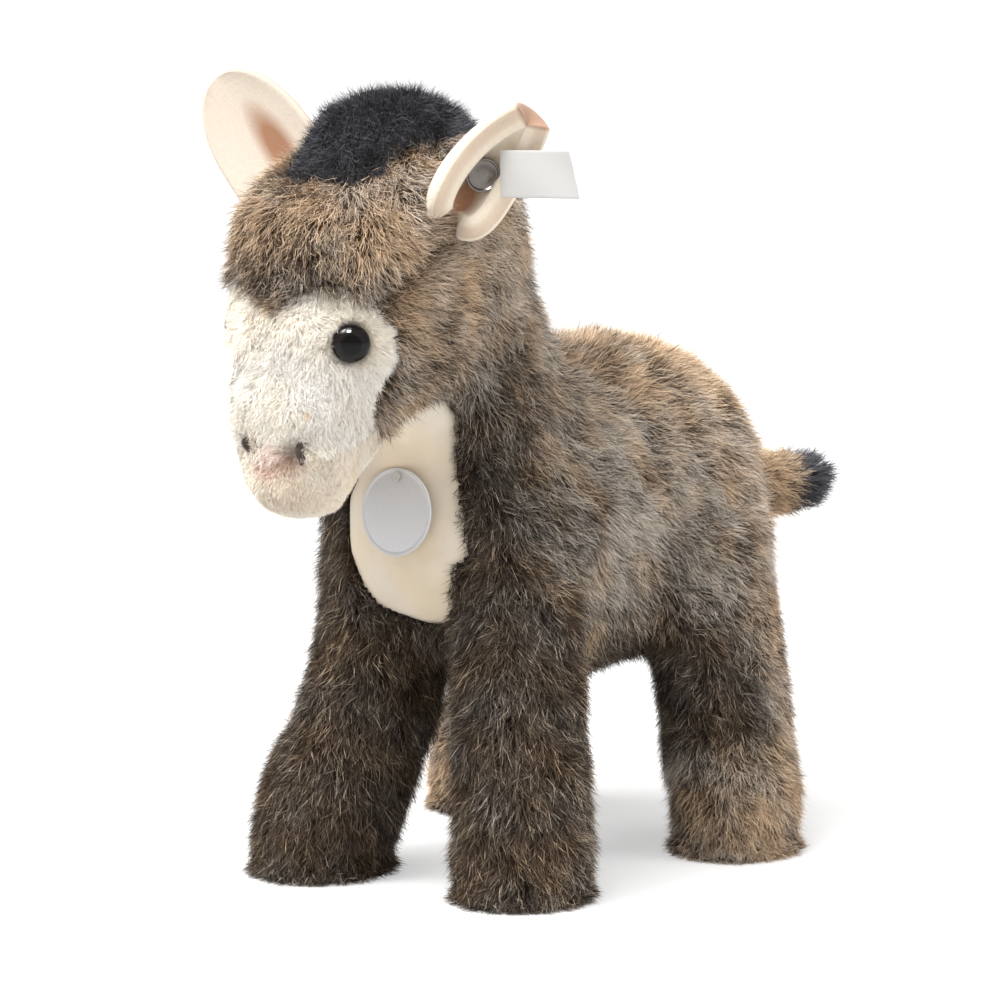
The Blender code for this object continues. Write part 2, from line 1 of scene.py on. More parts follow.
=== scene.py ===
# %% [markdown]
# # A stuffed plush donkey
#
# The toy is about 24 cm tall: a firmly stuffed body of long grey-brown pile, with a fluffy white face,
# a smooth cream chin, bib and ears, a blue-black mane and tail tip, glossy eyes, and a metal stud that
# holds a ribbon in its left ear. A round card hangs on its chest.
#
# This lesson dresses a plain solid model of the toy. The solids say where each part lies and how large
# it is. The lesson covers them with one soft skin, plants the pile on it strand by strand, and then makes
# the small hard parts one after another.

# %% Load the solid model
import math

import bpy
import numpy as np
from mathutils import Matrix, Vector
from mathutils.bvhtree import BVHTree


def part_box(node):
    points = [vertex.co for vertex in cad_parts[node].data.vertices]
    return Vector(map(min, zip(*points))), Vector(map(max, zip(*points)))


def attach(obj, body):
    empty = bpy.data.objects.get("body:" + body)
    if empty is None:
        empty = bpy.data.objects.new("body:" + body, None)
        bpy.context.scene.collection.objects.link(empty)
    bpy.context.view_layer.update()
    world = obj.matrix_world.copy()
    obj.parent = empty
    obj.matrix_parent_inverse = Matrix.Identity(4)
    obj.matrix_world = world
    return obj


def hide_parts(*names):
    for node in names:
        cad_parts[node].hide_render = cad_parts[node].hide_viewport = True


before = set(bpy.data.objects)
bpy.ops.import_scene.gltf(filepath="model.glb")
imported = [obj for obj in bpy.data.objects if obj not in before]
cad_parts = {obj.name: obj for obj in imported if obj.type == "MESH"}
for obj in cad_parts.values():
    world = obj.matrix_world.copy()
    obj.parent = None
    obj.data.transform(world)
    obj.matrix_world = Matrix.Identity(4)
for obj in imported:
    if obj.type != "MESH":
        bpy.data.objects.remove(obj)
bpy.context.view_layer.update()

MM = 0.001


# %% [markdown]
# ## Small helpers
#
# Blender's operators act on whatever is selected, and on the active object. These helpers select one
# object alone, apply its modifiers, and take a clean copy of a solid part to work on. A solid part is
# stored as loose triangles, so a copy of it is welded first. Another helper finishes a piece: it names it,
# gives it its material, hangs it under the root and hides the solid part that it dresses. The last ones
# read the numbers of a whole mesh at once, because the pile is worked out on many thousand points.

# %% Helpers for selecting, copying and applying


def choose(*objects):
    """Selects these objects alone, with the first one active."""
    bpy.ops.object.select_all(action="DESELECT")
    for obj in objects:
        obj.select_set(True)
    bpy.context.view_layer.objects.active = objects[0]
    return objects[0]


def choose_none():
    """Leaves nothing selected, so that the next operator acts on the new piece alone."""
    bpy.ops.object.select_all(action="DESELECT")


def edit_all():
    """Enters edit mode with everything selected."""
    bpy.ops.object.mode_set(mode="EDIT")
    bpy.ops.mesh.select_all(action="SELECT")


def leave_edit():
    """Goes back to object mode."""
    bpy.ops.object.mode_set(mode="OBJECT")


def apply_modifiers(obj):
    """Applies the object's modifiers in their order."""
    choose(obj)
    for modifier in list(obj.modifiers):
        bpy.ops.object.modifier_apply(modifier=modifier.name)
    return obj


def add_modifier(obj, kind, **settings):
    """Adds one modifier with its settings."""
    modifier = obj.modifiers.new(kind.lower(), kind)
    for key, value in settings.items():
        setattr(modifier, key, value)
    return modifier


def settle(obj, name):
    """Names a finished piece and moves its place into its mesh."""
    choose(obj)
    bpy.ops.object.transform_apply(location=True, rotation=True, scale=True)
    obj.name = name
    obj.data.name = name
    return obj


WELD = 0.01 * MM


def copy_of(node):
    """A welded copy of a solid part."""
    copy = bpy.data.objects.new(node + "_copy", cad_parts[node].data.copy())
    bpy.context.scene.collection.objects.link(copy)
    copy.data.materials.clear()
    choose(copy)
    edit_all()
    bpy.ops.mesh.remove_doubles(threshold=WELD)
    leave_edit()
    return copy


def finish_piece(obj, name, material, node):
    """Settles a piece that dresses one solid part, and gives it its material."""
    piece = settle(obj, name)
    piece.data.materials.append(material)
    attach(piece, "root")
    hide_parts(node)
    return piece


def middle_of(node):
    """The middle of a solid part, and its half height."""
    low, high = (Vector(corner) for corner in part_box(node))
    return (low + high) / 2, (high.z - low.z) / 2


def read(items, what, width, kind=np.float32):
    """One property of all the points, edges or faces of a mesh at once, as an array with a row for each."""
    values = np.empty(len(items) * width, kind)
    items.foreach_get(what, values)
    return values.reshape(-1, width)


def read_points(mesh):
    """The places and the normals of a mesh's points."""
    places = read(mesh.vertices, "co", 3).astype(np.float64)
    return places, read(mesh.vertex_normals, "vector", 3).astype(np.float64)


# %% [markdown]
# ## Camera
#
# The toy is seen from its front left, a little above its back, with a long lens, so its near side isn't
# swollen. The camera stands a metre away and looks at the middle of the toy.

# %% Set the camera
CAMERA_TARGET = Vector((21.3, -46.4, 112.3)) * MM
CAMERA_AZIMUTH = 38.0
CAMERA_ELEVATION = 7.0
CAMERA_DISTANCE = 1.0
CAMERA_LENS = 126.0  # millimetres
CAMERA_SENSOR = 36.0

azimuth, elevation = math.radians(CAMERA_AZIMUTH), math.radians(CAMERA_ELEVATION)
level = math.cos(elevation)
back = Vector((math.sin(azimuth) * level, -math.cos(azimuth) * level, math.sin(elevation)))
camera = bpy.data.objects.new("camera", bpy.data.cameras.new("camera"))
bpy.context.scene.collection.objects.link(camera)
camera.location = CAMERA_TARGET + back * CAMERA_DISTANCE
camera.rotation_euler = back.to_track_quat("Z", "Y").to_euler()
camera.data.lens = CAMERA_LENS
camera.data.sensor_width = CAMERA_SENSOR
camera.data.clip_start = CAMERA_DISTANCE / 20
bpy.context.scene.camera = camera
print("camera at", [round(v, 3) for v in camera.location], "lens", CAMERA_LENS)

# %% [markdown]
# ## Floor and light
#
# A product picture of a toy is taken on white paper, in light from broad soft boxes. The floor is one
# large pale plane. The surroundings are white too, so that soft light comes from all round. The form
# comes from a sun lamp so wide that its shadows melt away, which stands for a bright ceiling, and from a
# softbox at the front and one at the right. A third small softbox is seen only in the eyes and the metal.

# %% Lay the floor
FLOOR_SIZE = 30.0

choose_none()
bpy.ops.mesh.primitive_plane_add(size=FLOOR_SIZE, location=(0.0, 0.0, 0.0))
floor = settle(bpy.context.object, "floor")
print("floor", FLOOR_SIZE, "m wide")

# %% [markdown]
# A material is a tree of nodes round one shader. These helpers add a node with its settings and inputs in
# one line, start a material, and carry a value from one range over to another one.
#
# Seen directly, the floor and the surroundings are a little brighter than they are as lamps, so the paper
# looks white while the light that they give stays soft.

# %% Helpers for materials


def add_node(tree, kind, inputs, **settings):
    """Adds a shader node. Each input is either a plain value or the output of another node."""
    node = tree.nodes.new("ShaderNode" + kind)
    for key, value in settings.items():
        setattr(node, key, value)
    for key, value in inputs.items():
        if isinstance(value, bpy.types.NodeSocket):
            tree.links.new(value, node.inputs[key])
        else:
            node.inputs[key].default_value = value
    return node


def new_material(name, colour, roughness, **sockets):
    """A material with one Principled shader, and the tree that the caller adds nodes to."""
    material = bpy.data.materials.new(name)
    material.use_nodes = True
    material.diffuse_color = (*colour, 1.0)
    shader = material.node_tree.nodes["Principled BSDF"]
    shader.inputs["Base Color"].default_value = (*colour, 1.0)
    shader.inputs["Roughness"].default_value = roughness
    for key, value in sockets.items():
        shader.inputs[key.replace("_", " ")].default_value = value
    return material, material.node_tree, shader


def remap(tree, value, before, after, kind="LINEAR"):
    """Carries a value from one range over to another one."""
    ends = {"From Min": before[0], "From Max": before[1], "To Min": after[0], "To Max": after[1]}
    return add_node(tree, "MapRange", {"Value": value, **ends}, interpolation_type=kind).outputs["Result"]


def seen_directly(tree, otherwise, directly):
    """One value for what the camera sees directly, and another one for all other rays."""
    rays = add_node(tree, "LightPath", {})
    return remap(tree, rays.outputs["Is Camera Ray"], (0.0, 1.0), (otherwise, directly))


# %% Make the paper and the surroundings white
WHITE = (1.0, 1.0, 1.0, 1.0)
PAPER_GLOW = 0.45  # seen directly
SURROUNDINGS_GLOW = 0.52
SURROUNDINGS_SEEN = 1.06

paper, tree, shader = new_material("floor_paper", (0.54, 0.535, 0.53), 0.9, Emission_Color=WHITE)
tree.links.new(seen_directly(tree, 0.0, PAPER_GLOW), shader.inputs["Emission Strength"])
floor.data.materials.append(paper)

world = bpy.data.worlds.new("studio")
world.use_nodes = True
background = world.node_tree.nodes["Background"]
background.inputs["Color"].default_value = WHITE
strength = seen_directly(world.node_tree, SURROUNDINGS_GLOW, SURROUNDINGS_SEEN)
world.node_tree.links.new(strength, background.inputs["Strength"])
bpy.context.scene.world = world
bpy.context.scene.view_settings.view_transform = "Standard"
print("surroundings glow", SURROUNDINGS_GLOW, "and look", SURROUNDINGS_SEEN)

# %% Hang the lamps
CEILING_WIDTH = 50.0  # degrees across, which makes its shadows soft
SOFTBOXES = {  # place, what it looks at, size in metres, power in watts
    "softbox_front": ((-0.2, -0.6, 1.0), (0.0, -0.08, 0.15), 0.3, 6.2),
    "softbox_right": ((1.1, 0.35, 0.7), (0.0, 0.0, 0.12), 0.8, 8.0),
    "catchlight": ((0.145, -0.355, 0.585), (0.024, -0.116, 0.165), 0.16, 6.0),
}


def add_lamp(name, kind, place, aim, energy):
    """A lamp that shines towards its aim. The right softbox isn't mirrored, and the catchlight only is."""
    lamp = bpy.data.objects.new(name, bpy.data.lights.new(name, kind))
    bpy.context.scene.collection.objects.link(lamp)
    lamp.location = place
    lamp.rotation_euler = (Vector(place) - Vector(aim)).to_track_quat("Z", "Y").to_euler()
    lamp.data.energy = energy
    lamp.visible_glossy = name != "softbox_right"
    lamp.visible_diffuse = name != "catchlight"
    return lamp.data


ceiling = add_lamp("ceiling", "SUN", (-0.25, -0.55, 1.3), (0.0, 0.0, 0.0), 3.4)
ceiling.angle = math.radians(CEILING_WIDTH)
for name, (place, aim, size, power) in SOFTBOXES.items():
    add_lamp(name, "AREA", place, aim, power).size = size
print("lights: ceiling,", ", ".join(SOFTBOXES))

# %% [markdown]
# ## Skin
#
# The real toy is cut from cloth and sewn, and then stuffed until it is firm. Its cloth is hidden by the
# pile except on the bib. One skin stands for all of it, so no seam shows. The solids reach out to the
# tips of the pile, so copies of them are joined, melted into one closed surface with a voxel remesh and
# smoothed. The surface is pulled in later, by the depth of the pile that each part carries.

# %% Join and melt the soft parts
LEGS = ["leg_front_left", "leg_front_right", "leg_hind_left", "leg_hind_right"]
BROWN = ["head", "neck", "trunk", "tail", *LEGS]
SOFT = BROWN + ["face_mask", "muzzle", "bib", "mane", "tail_tip"]
SEAM_FILL = 0.3 * MM
SKIN_GRAIN = 1.5 * MM

copies = [copy_of(node) for node in SOFT]
choose(copies[-1], *copies)
bpy.ops.object.join()
skin = bpy.context.object
add_modifier(skin, "DISPLACE", strength=SEAM_FILL, mid_level=0.0)
add_modifier(skin, "REMESH", mode="VOXEL", voxel_size=SKIN_GRAIN)
add_modifier(skin, "SMOOTH", factor=0.5, iterations=6)
skin = settle(apply_modifiers(skin), "skin")
print("skin:", len(skin.data.vertices), "points")

# %% [markdown]
# Each point of the skin has to know which part of the toy it belongs to, because the pile differs from
# part to part. A search tree over all the solid parts answers that: the nearest triangle names the part.
# The cloth under the jaw is the same cream velour as the chin, although it covers the head's solid.

# %% Find the part under any point


def tree_of(nodes):
    """A search tree over some solids, and for each of its faces the place of its solid in the list."""
    points, faces, owners = [], [], []
    for number, node in enumerate(nodes):
        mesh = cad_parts[node].data
        first = len(points)
        points += [vert.co.copy() for vert in mesh.vertices]
        faces += [[first + index for index in face.vertices] for face in mesh.polygons]
        owners += [number] * len(mesh.polygons)
    return BVHTree.FromPolygons(points, faces), np.array(owners)


parts_tree, face_owner = tree_of(SOFT)
JAW_BACK = -72.0  # millimetres along Y, and JAW_TOP is a height
JAW_TOP = 136.0


def part_numbers(points):
    """The place in SOFT of the part nearest to each point. Under the jaw, the head counts as the muzzle."""
    parts = face_owner[[parts_tree.find_nearest(point)[2] for point in points]]
    under_jaw = (points[:, 1] < JAW_BACK * MM) & (points[:, 2] < JAW_TOP * MM)
    parts[under_jaw & (parts == SOFT.index("head"))] = SOFT.index("muzzle")
    return parts


# %% [markdown]
# The skin is pulled in by each part's depth of pile, which is evened out where two parts meet. A seam runs
# over each cheek, from the corner of the face mask towards the ear, and pulls the cloth in a little more.
# The cloth is pushed up and in under the chin, where the stuffing is loose. A soft noise gives the long
# pile a few lumps, as the stuffing does on the real toy.

# %% Depths, seams and pushes
PILE_DEPTH = {"face_mask": 2.3, "muzzle": 0.7, "bib": 0.6, "mane": 5.8, "tail_tip": 3.6}  # millimetres
BROWN_DEPTH = 4.3
SOLE_DEPTH = 0.5
SOLE_TOP = 1.6
SOLE_SLOPE = -0.7  # a sole's normal points down at least this much
LUMP_DEPTH = 0.45
LUMP_SIZE = 11.0
LONG_PILE = 2.5  # only pile that is deeper than this shows the lumps
HEAD_MIDDLE = 1.0  # the head's middle along X
CHEEK_SEAM = [
    (28.3, -105.7, 173.6),
    (30.6, -102.0, 177.3),
    (32.5, -95.9, 181.7),
    (33.6, -90.7, 185.3),
    (34.1, -82.7, 188.2),
]
SEAM_REACH = 2.2
SEAM_DEPTH = 1.8
SEAM_STEPS = 6
CHIN_PUSHES = [  # where the cloth is pushed, how far round, and by how much, in millimetres
    ((-1.0, -116.0, 119.0), 7.0, (0.0, -3.2, -2.0)),
    ((17.5, -98.5, 124.0), 7.0, (-4.0, -1.0, 2.0)),
    ((-19.5, -98.5, 124.0), 7.0, (4.0, -1.0, 2.0)),
    ((9.0, -90.0, 121.0), 8.0, (-3.6, -3.8, 2.0)),
    ((-11.0, -90.0, 121.0), 8.0, (3.6, -3.8, 2.0)),
]
NOISE_WAVES = 16


def soft_noise(points, size, seed):
    """Smooth values, mostly between -1 and 1, that rise and fall over a distance of about size."""
    rng = np.random.default_rng(seed)
    total = np.zeros(len(points))
    for _ in range(NOISE_WAVES):
        wave = rng.normal(size=3)
        wave *= math.pi * rng.uniform(0.7, 1.6) / (size * np.linalg.norm(wave))
        total += np.sin(points @ wave + rng.uniform(0.0, 2 * math.pi))
    return total / math.sqrt(NOISE_WAVES)


def bump_round(points, place, reach):
    """A smooth bump of height one over some points, round a place. All are in millimetres."""
    away = np.sum((points - np.array(place)) ** 2, axis=1)
    return np.exp(-away / (2 * reach**2))


print("pile depths:", {node: PILE_DEPTH.get(node, BROWN_DEPTH) for node in SOFT})


# %% Pull the skin in by the depth of the pile
mesh = skin.data
places, outward = read_points(mesh)
edges = read(mesh.edges, "vertices", 2, np.int32)
neighbours = np.bincount(edges.ravel(), minlength=len(places))


def blur(values, passes):
    """Evens out a value over the skin by giving each point the mean of its neighbours and itself."""
    for _ in range(passes):
        total = np.bincount(edges[:, 0], values[edges[:, 1]], len(values))
        total += np.bincount(edges[:, 1], values[edges[:, 0]], len(values))
        values = (total + values) / (neighbours + 1)
    return values


depth = np.array([PILE_DEPTH.get(node, BROWN_DEPTH) * MM for node in SOFT])[part_numbers(places)]
on_sole = (places[:, 2] < SOLE_TOP * MM) & (outward[:, 2] < SOLE_SLOPE)
depth[on_sole] = SOLE_DEPTH * MM
depth = np.where(on_sole, depth, blur(depth, 6))
surface = places / MM
seam = np.zeros(len(places))
for mirror in (1, -1):
    line = [Vector((HEAD_MIDDLE + mirror * (x - HEAD_MIDDLE), y, z)) for x, y, z in CHEEK_SEAM]
    for first, last in zip(line, line[1:]):
        for step in np.linspace(0.0, 1.0, SEAM_STEPS):
            seam = np.maximum(seam, bump_round(surface, first.lerp(last, step), SEAM_REACH))
depth += seam * SEAM_DEPTH * MM
lumps = LUMP_DEPTH * MM * soft_noise(places, LUMP_SIZE * MM, 8)
depth += np.where(on_sole | (depth < LONG_PILE * MM), 0.0, lumps)
places -= outward * depth[:, None]
for place, reach, push in CHIN_PUSHES:
    places += bump_round(surface, place, reach)[:, None] * np.array(push) * MM
mesh.vertices.foreach_set("co", places.astype(np.float32).ravel())
mesh.update()
add_modifier(skin, "SMOOTH", factor=0.5, iterations=3)
choose(apply_modifiers(skin))
bpy.ops.object.shade_smooth()
print("pile depth from", round(depth.min() / MM, 2), "to", round(depth.max() / MM, 2), "mm")

# %% [markdown]
# ## Unwrap
#
# The skin is unwrapped once. Each strand of pile will keep a small patch of that map at its root, so
# the pile can carry the same markings as the cloth under it.

# %% Unwrap the skin
BAKE_MAP = "OFBake"
choose(skin)
edit_all()
bpy.ops.uv.smart_project(angle_limit=math.radians(66), island_margin=0.002)
leave_edit()
skin.data.uv_layers[0].name = BAKE_MAP
print("unwrapped on", skin.data.uv_layers[0].name)

# %% [markdown]
# ## Combing
#
# Pile lies the way that it was brushed: down the forehead, back over the cheeks, down the neck and legs,
# and back along the trunk. A list of comb strokes gives a direction at some places, and how light and how
# warm the pile is there. The lightness is the pile's own tone, and at a few strokes it also paints light
# and shade: a highlight on top of each cheek, a shadow under the edge of the forelock, and shade on the
# chest under the head and on the front and inner sides of the legs. Every point of the skin takes a mean
# of the strokes near it, laid flat on the surface.
#
# Two more lists serve the trim of the toy. The pile is clipped shorter at a few places, such as over the
# eyes, and also in the cheek seams, where it is also painted darker as the shade in the crease. Along the
# bib it is short as well, and leans over the bib's edge, so that the edge of the smooth cloth is hidden.

# %% The comb strokes
STROKES = [  # place in millimetres, direction, lightness and warmth; mirrored in X where the last is 1
    # forehead, with a painted shadow under the edge of the forelock, over the mask
    ((0, -112, 192), (0, -0.2, -1), 0.66, 1.0, 0),
    ((0, -104, 204), (0, -0.6, -0.9), 0.85, 1.0, 0),
    ((16, -114, 182), (0.1, -0.1, -1), 0.08, 0.8, 1),
    ((0, -119, 178), (0, -0.1, -1), 0.45, 0.8, 0),
    ((0, -85, 213), (0, -1, -0.3), 0.6, 0.8, 0),
    ((24, -100, 197), (0.25, -0.3, -1), 1.2, 0.8, 1),
    # round the ears
    ((31, -91, 195), (0.5, 0.4, 0.8), 1.1, 0.4, 0),
    ((-24, -88, 204), (-0.3, 0.4, 0.8), 0.9, 0.7, 0),
    # cheeks, with a painted highlight on top and painted shade on the lower side
    ((35, -92, 176), (0.3, 0.9, 0.1), 2.1, 1.0, 1),
    ((34, -84, 170), (0.1, 0.9, -0.35), 0.52, 0.6, 1),
    ((31, -92, 160), (0.1, 0.9, -0.35), 0.24, 0.6, 1),
    ((30, -78, 150), (0, 0.85, -0.5), 0.72, 0.4, 1),
    # neck
    ((31, -66, 192), (0.1, 0.6, -0.8), 0.62, 0.5, 1),
    ((0, -45, 208), (0, 0.8, -0.6), 0.5, 0.5, 0),
    ((30, -50, 175), (0.1, 0.4, -0.9), 1.05, 0.2, 1),
    ((26, -36, 148), (0.05, 0.3, -1), 0.62, 0.3, 1),
    ((31, -62, 140), (0, 0.15, -1), 0.12, 0.3, 1),
    ((0, -12, 165), (0, 0.5, -0.9), 0.7, 0.4, 0),
    # chest, painted darker as the shade under the head
    ((0, -76, 138), (0, 0, -1), 0.35, 0.5, 0),
    ((30, -68, 115), (0.05, 0.05, -1), 0.0, 0.4, 1),
    ((14, -72, 84), (0, 0, -1), -0.1, 0.5, 1),
    # flanks
    ((42, -40, 115), (0, 0.35, -0.95), 0.46, 0.3, 1),
    ((43, -12, 116), (0, 0.6, -0.8), 0.84, 0.1, 1),
    ((42, 25, 118), (0, 0.75, -0.6), 0.75, 0.4, 1),
    ((42, 25, 85), (0, 0.6, -0.8), 0.44, 0.3, 1),
    ((42, 52, 112), (0, 0.35, -0.95), 0.84, 0.45, 1),
    # back and rump
    ((0, 5, 152), (0, 1, -0.05), 0.72, 0.8, 0),
    ((0, 45, 152), (0, 1, -0.1), 0.85, 1.0, 0),
    ((26, 20, 146), (0.35, 0.8, -0.4), 0.56, 0.9, 1),
    ((26, 62, 142), (0.25, 0.6, -0.7), 0.72, 1.0, 1),
    ((0, 76, 128), (0, 0.4, -0.9), 0.9, 0.8, 0),
    ((26, 74, 100), (0.1, 0.1, -1), 0.85, 0.6, 1),
    # belly
    ((0, 5, 52), (0, 1, 0), 0.15, 0.3, 0),
    ((0, 60, 62), (0, 0.5, -0.7), -0.3, 0.4, 0),
    # legs and feet: darker fur, with painted shade on their front and inner sides
    ((36, -60, 60), (0.05, 0, -1), -0.3, 0.5, 1),
    ((18, -62, 60), (0, 0, -1), -0.1, 0.5, 1),
    ((52, -48, 60), (0.1, 0.1, -1), 0.2, 0.6, 1),
    ((36, -30, 50), (0, 0.1, -1), 0.4, 0.6, 1),
    ((37, -76, 22), (0.1, -0.15, -1), -0.3, 0.6, 1),
    ((56, -52, 18), (0.25, 0, -1), 0.22, 0.6, 1),
    ((56, 42, 60), (0.1, 0, -1), 0.74, 0.5, 1),
    ((38, 22, 50), (0, -0.05, -1), -0.3, 0.4, 1),
    ((46, 66, 50), (0.05, 0.15, -1), 0.62, 0.6, 1),
    ((68, 36, 18), (0.25, 0, -1), 0.84, 0.75, 1),
    ((48, 14, 18), (0.1, -0.2, -1), 0.8, 0.7, 1),
    # tail
    ((4, 84, 112), (0.3, 0.9, -0.1), 0.95, 0.9, 0),
    ((16, 104, 104), (0.4, 0.9, 0.05), 0.9, 0.9, 0),
    # face, chin and throat
    ((0, -122, 160), (0, -0.1, -1), 0.7, 0.4, 0),
    ((28, -104, 158), (0.6, 0.3, -0.5), 0.5, 0.5, 1),
    ((12, -116, 140), (0.3, -0.1, -1), 0.8, 0.4, 1),
    ((0, -112, 125), (0, 0.2, -1), 1.1, 0.4, 0),
    ((0, -98, 113), (0, 1, -0.2), 1.1, 0.4, 0),
    ((0, -76, 110), (0, 0, -1), 0.0, 0.5, 0),
]
STROKE_REACH = 10.5  # millimetres
STROKE_TAIL = 1e-4  # the least weight of a stroke, so that no point is left without one
CLIPPED = [  # where the pile is cut shorter, how far round, and by what share, in millimetres
    ((0, -119, 176), 7.0, 0.40),
    ((17, -113, 178), 7.0, 0.40),
    ((26, -106, 172), 6.0, 0.45),
    ((17, 106, 104), 5.0, 0.45),
    ((30, -50, 190), 12.0, 0.25),
    ((-6, -105, 209), 6.0, 0.60),
]

strokes = []  # the same rows with their mirror images, and with directions one long
for place, direction, light, warmth, mirrored in STROKES:
    for side in (1, -1) if mirrored else (1,):
        way = Vector((direction[0] * side, *direction[1:])).normalized()
        strokes.append((place[0] * side, *place[1:], *way, light, warmth))
print(len(strokes), "strokes with their mirror images")

# %% Comb the skin
places, outward = read_points(skin.data)
pull = np.zeros((len(places), 5))
weight = np.zeros(len(places))
for stroke in np.array(strokes):
    away = np.sum((places / MM - stroke[:3]) ** 2, axis=1)
    near = np.exp(-away / (2 * STROKE_REACH**2)) + STROKE_TAIL / (1.0 + away / 100.0)
    weight += near
    pull += near[:, None] * stroke[3:]
pull /= weight[:, None]


def flat_on(directions, normals):
    """Directions laid flat on a surface and made one long."""
    flat = directions - normals * np.sum(directions * normals, axis=1)[:, None]
    return flat / np.maximum(np.linalg.norm(flat, axis=1), 1e-6)[:, None]


# %% Lean the pile over the bib, clip it, and give it its tone, with painted shade in the cheek seams
BIB_BACK = -45.0  # along Y
BIB_HEIGHTS = (60.0, 160.0)
OVERHANG_REACH = 3.5  # millimetres from the bib
OVERHANG_PULL = 1.6
OVERHANG_DROOP = 0.3  # of the pull that may go up or down
OVERHANG_SHORT = 0.65  # the share by which the pile is shorter
SEAM_SHORT = 0.65
# how much darker the pile is painted in a seam, as the shade in its crease
SEAM_PAINTED_SHADE = 1.1
LIGHT_PATCHES = ((0.22, 12.0, 3), (0.12, 5.0, 4))  # strength, size in millimetres and seed
WARM_PATCH = (0.38, 9.0, 5)
DARK_SHARE = 0.3  # how much of the light patches the darkest pile still shows

bib_tree, _ = tree_of(["bib"])
overhang = np.zeros(len(places))
_, back, height = places.T / MM
near_bib = (back < BIB_BACK) & (height > BIB_HEIGHTS[0]) & (height < BIB_HEIGHTS[1])
for index in np.flatnonzero(near_bib):
    top = Vector(places[index] + outward[index] * depth[index])
    towards = np.array(bib_tree.find_nearest(top)[0] - top)
    overhang[index] = math.exp(-((np.linalg.norm(towards) / (OVERHANG_REACH * MM)) ** 2))
    towards[2] *= OVERHANG_DROOP
    pull[index, :3] += OVERHANG_PULL * overhang[index] * towards / max(np.linalg.norm(towards), 1e-6)

short = np.maximum(SEAM_SHORT * seam, OVERHANG_SHORT * overhang)
for place, reach, share in CLIPPED:
    short = np.maximum(short, share * bump_round(surface, place, reach))


def patches(strength, size, seed):
    """Soft patches over the skin."""
    return strength * soft_noise(places, size * MM, seed)


comb = flat_on(pull[:, :3], outward)
light_patches = patches(*LIGHT_PATCHES[0]) + patches(*LIGHT_PATCHES[1])
lightness = pull[:, 3] + light_patches * np.clip(DARK_SHARE + pull[:, 3], 0.0, 1.0)
# the pile in the cheek seams is painted darker, as the shade in the crease
lightness = np.clip(lightness - SEAM_PAINTED_SHADE * seam, 0.0, 1.0)
warmth = np.clip(pull[:, 4] + patches(*WARM_PATCH), 0, 1)
print("combed", len(places), "points")

# %% [markdown]
# ## Materials of the pile
#
# A strand of this pile is dark at its root and frosted at its tip. Two colour ramps run along the strand,
# one for a dark strand and one for a light one, and an attribute mixes them. Its red channel is the place
# along the strand, its green the lightness and its blue the warmth. The cloth underneath uses the same
# material, with the attribute held near the root, so the markings always agree. Round the nostrils, a few
# soft stains of brown and pink are laid over the white and the cream.

# %% Helpers for patterns


def ramp(tree, factor, stops):
    """A colour that runs through a list of stops, each a place from 0 to 1 and its colour."""
    node = add_node(tree, "ValToRGB", {"Fac": factor})
    elements = node.color_ramp.elements
    elements[0].position, elements[1].position = stops[0][0], stops[-1][0]
    elements[0].color, elements[1].color = (*stops[0][1], 1.0), (*stops[-1][1], 1.0)
    for place, colour in stops[1:-1]:
        elements.new(place).color = (*colour, 1.0)
    return node.outputs["Color"]


def mix(tree, factor, first, second, blend="MIX"):
    """A mix of two colours. Each of the three values may be a plain one or an output."""
    inputs = {"Factor": factor, "A": first, "B": second}
    return add_node(tree, "Mix", inputs, data_type="RGBA", blend_type=blend).outputs["Result"]


def noise(tree, scale, detail=4.0, roughness=0.5):
    """A noise from 0 to 1 that is fixed to the toy."""
    where = add_node(tree, "TexCoord", {}).outputs["Object"]
    inputs = {"Vector": where, "Scale": scale, "Detail": detail, "Roughness": roughness}
    return add_node(tree, "TexNoise", inputs).outputs["Fac"]


def add_bump(tree, shader, height, strength, distance):
    """A fine relief, which only the light shows."""
    bump = add_node(tree, "Bump", {"Strength": strength, "Distance": distance, "Height": height})
    tree.links.new(bump.outputs["Normal"], shader.inputs["Normal"])


def distance_from(tree, point):
    """The distance from one point, read anywhere on the toy."""
    where = add_node(tree, "TexCoord", {}).outputs["Object"]
    return add_node(tree, "VectorMath", {0: where, 1: point}, operation="DISTANCE").outputs["Value"]


# %% Write the pile material
WHITE_STAINS = [  # place and reach in mm, colour, strength at the middle
    ((6.6, -120.5, 129.0), 6.0, (0.38, 0.22, 0.145), 0.9),
    ((13.0, -120.5, 141.5), 2.0, (0.62, 0.40, 0.14), 0.8),
    ((0.5, -121.5, 130.0), 6.0, (0.84, 0.52, 0.42), 0.5),
]
CREAM_STAINS = [
    ((6.6, -120.5, 128.5), 7.0, (0.40, 0.24, 0.16), 0.85),
    ((-8.0, -119.5, 131.5), 3.5, (0.50, 0.30, 0.20), 0.6),
    ((-0.5, -121.5, 127.5), 8.0, (0.76, 0.48, 0.38), 0.75),
    ((2.0, -118.0, 119.0), 10.0, (0.72, 0.56, 0.42), 0.30),
]
MOTTLE_SCALE = 140.0
GRAIN_SCALE = 1100.0
GRAIN_HEIGHT = 0.25 * MM


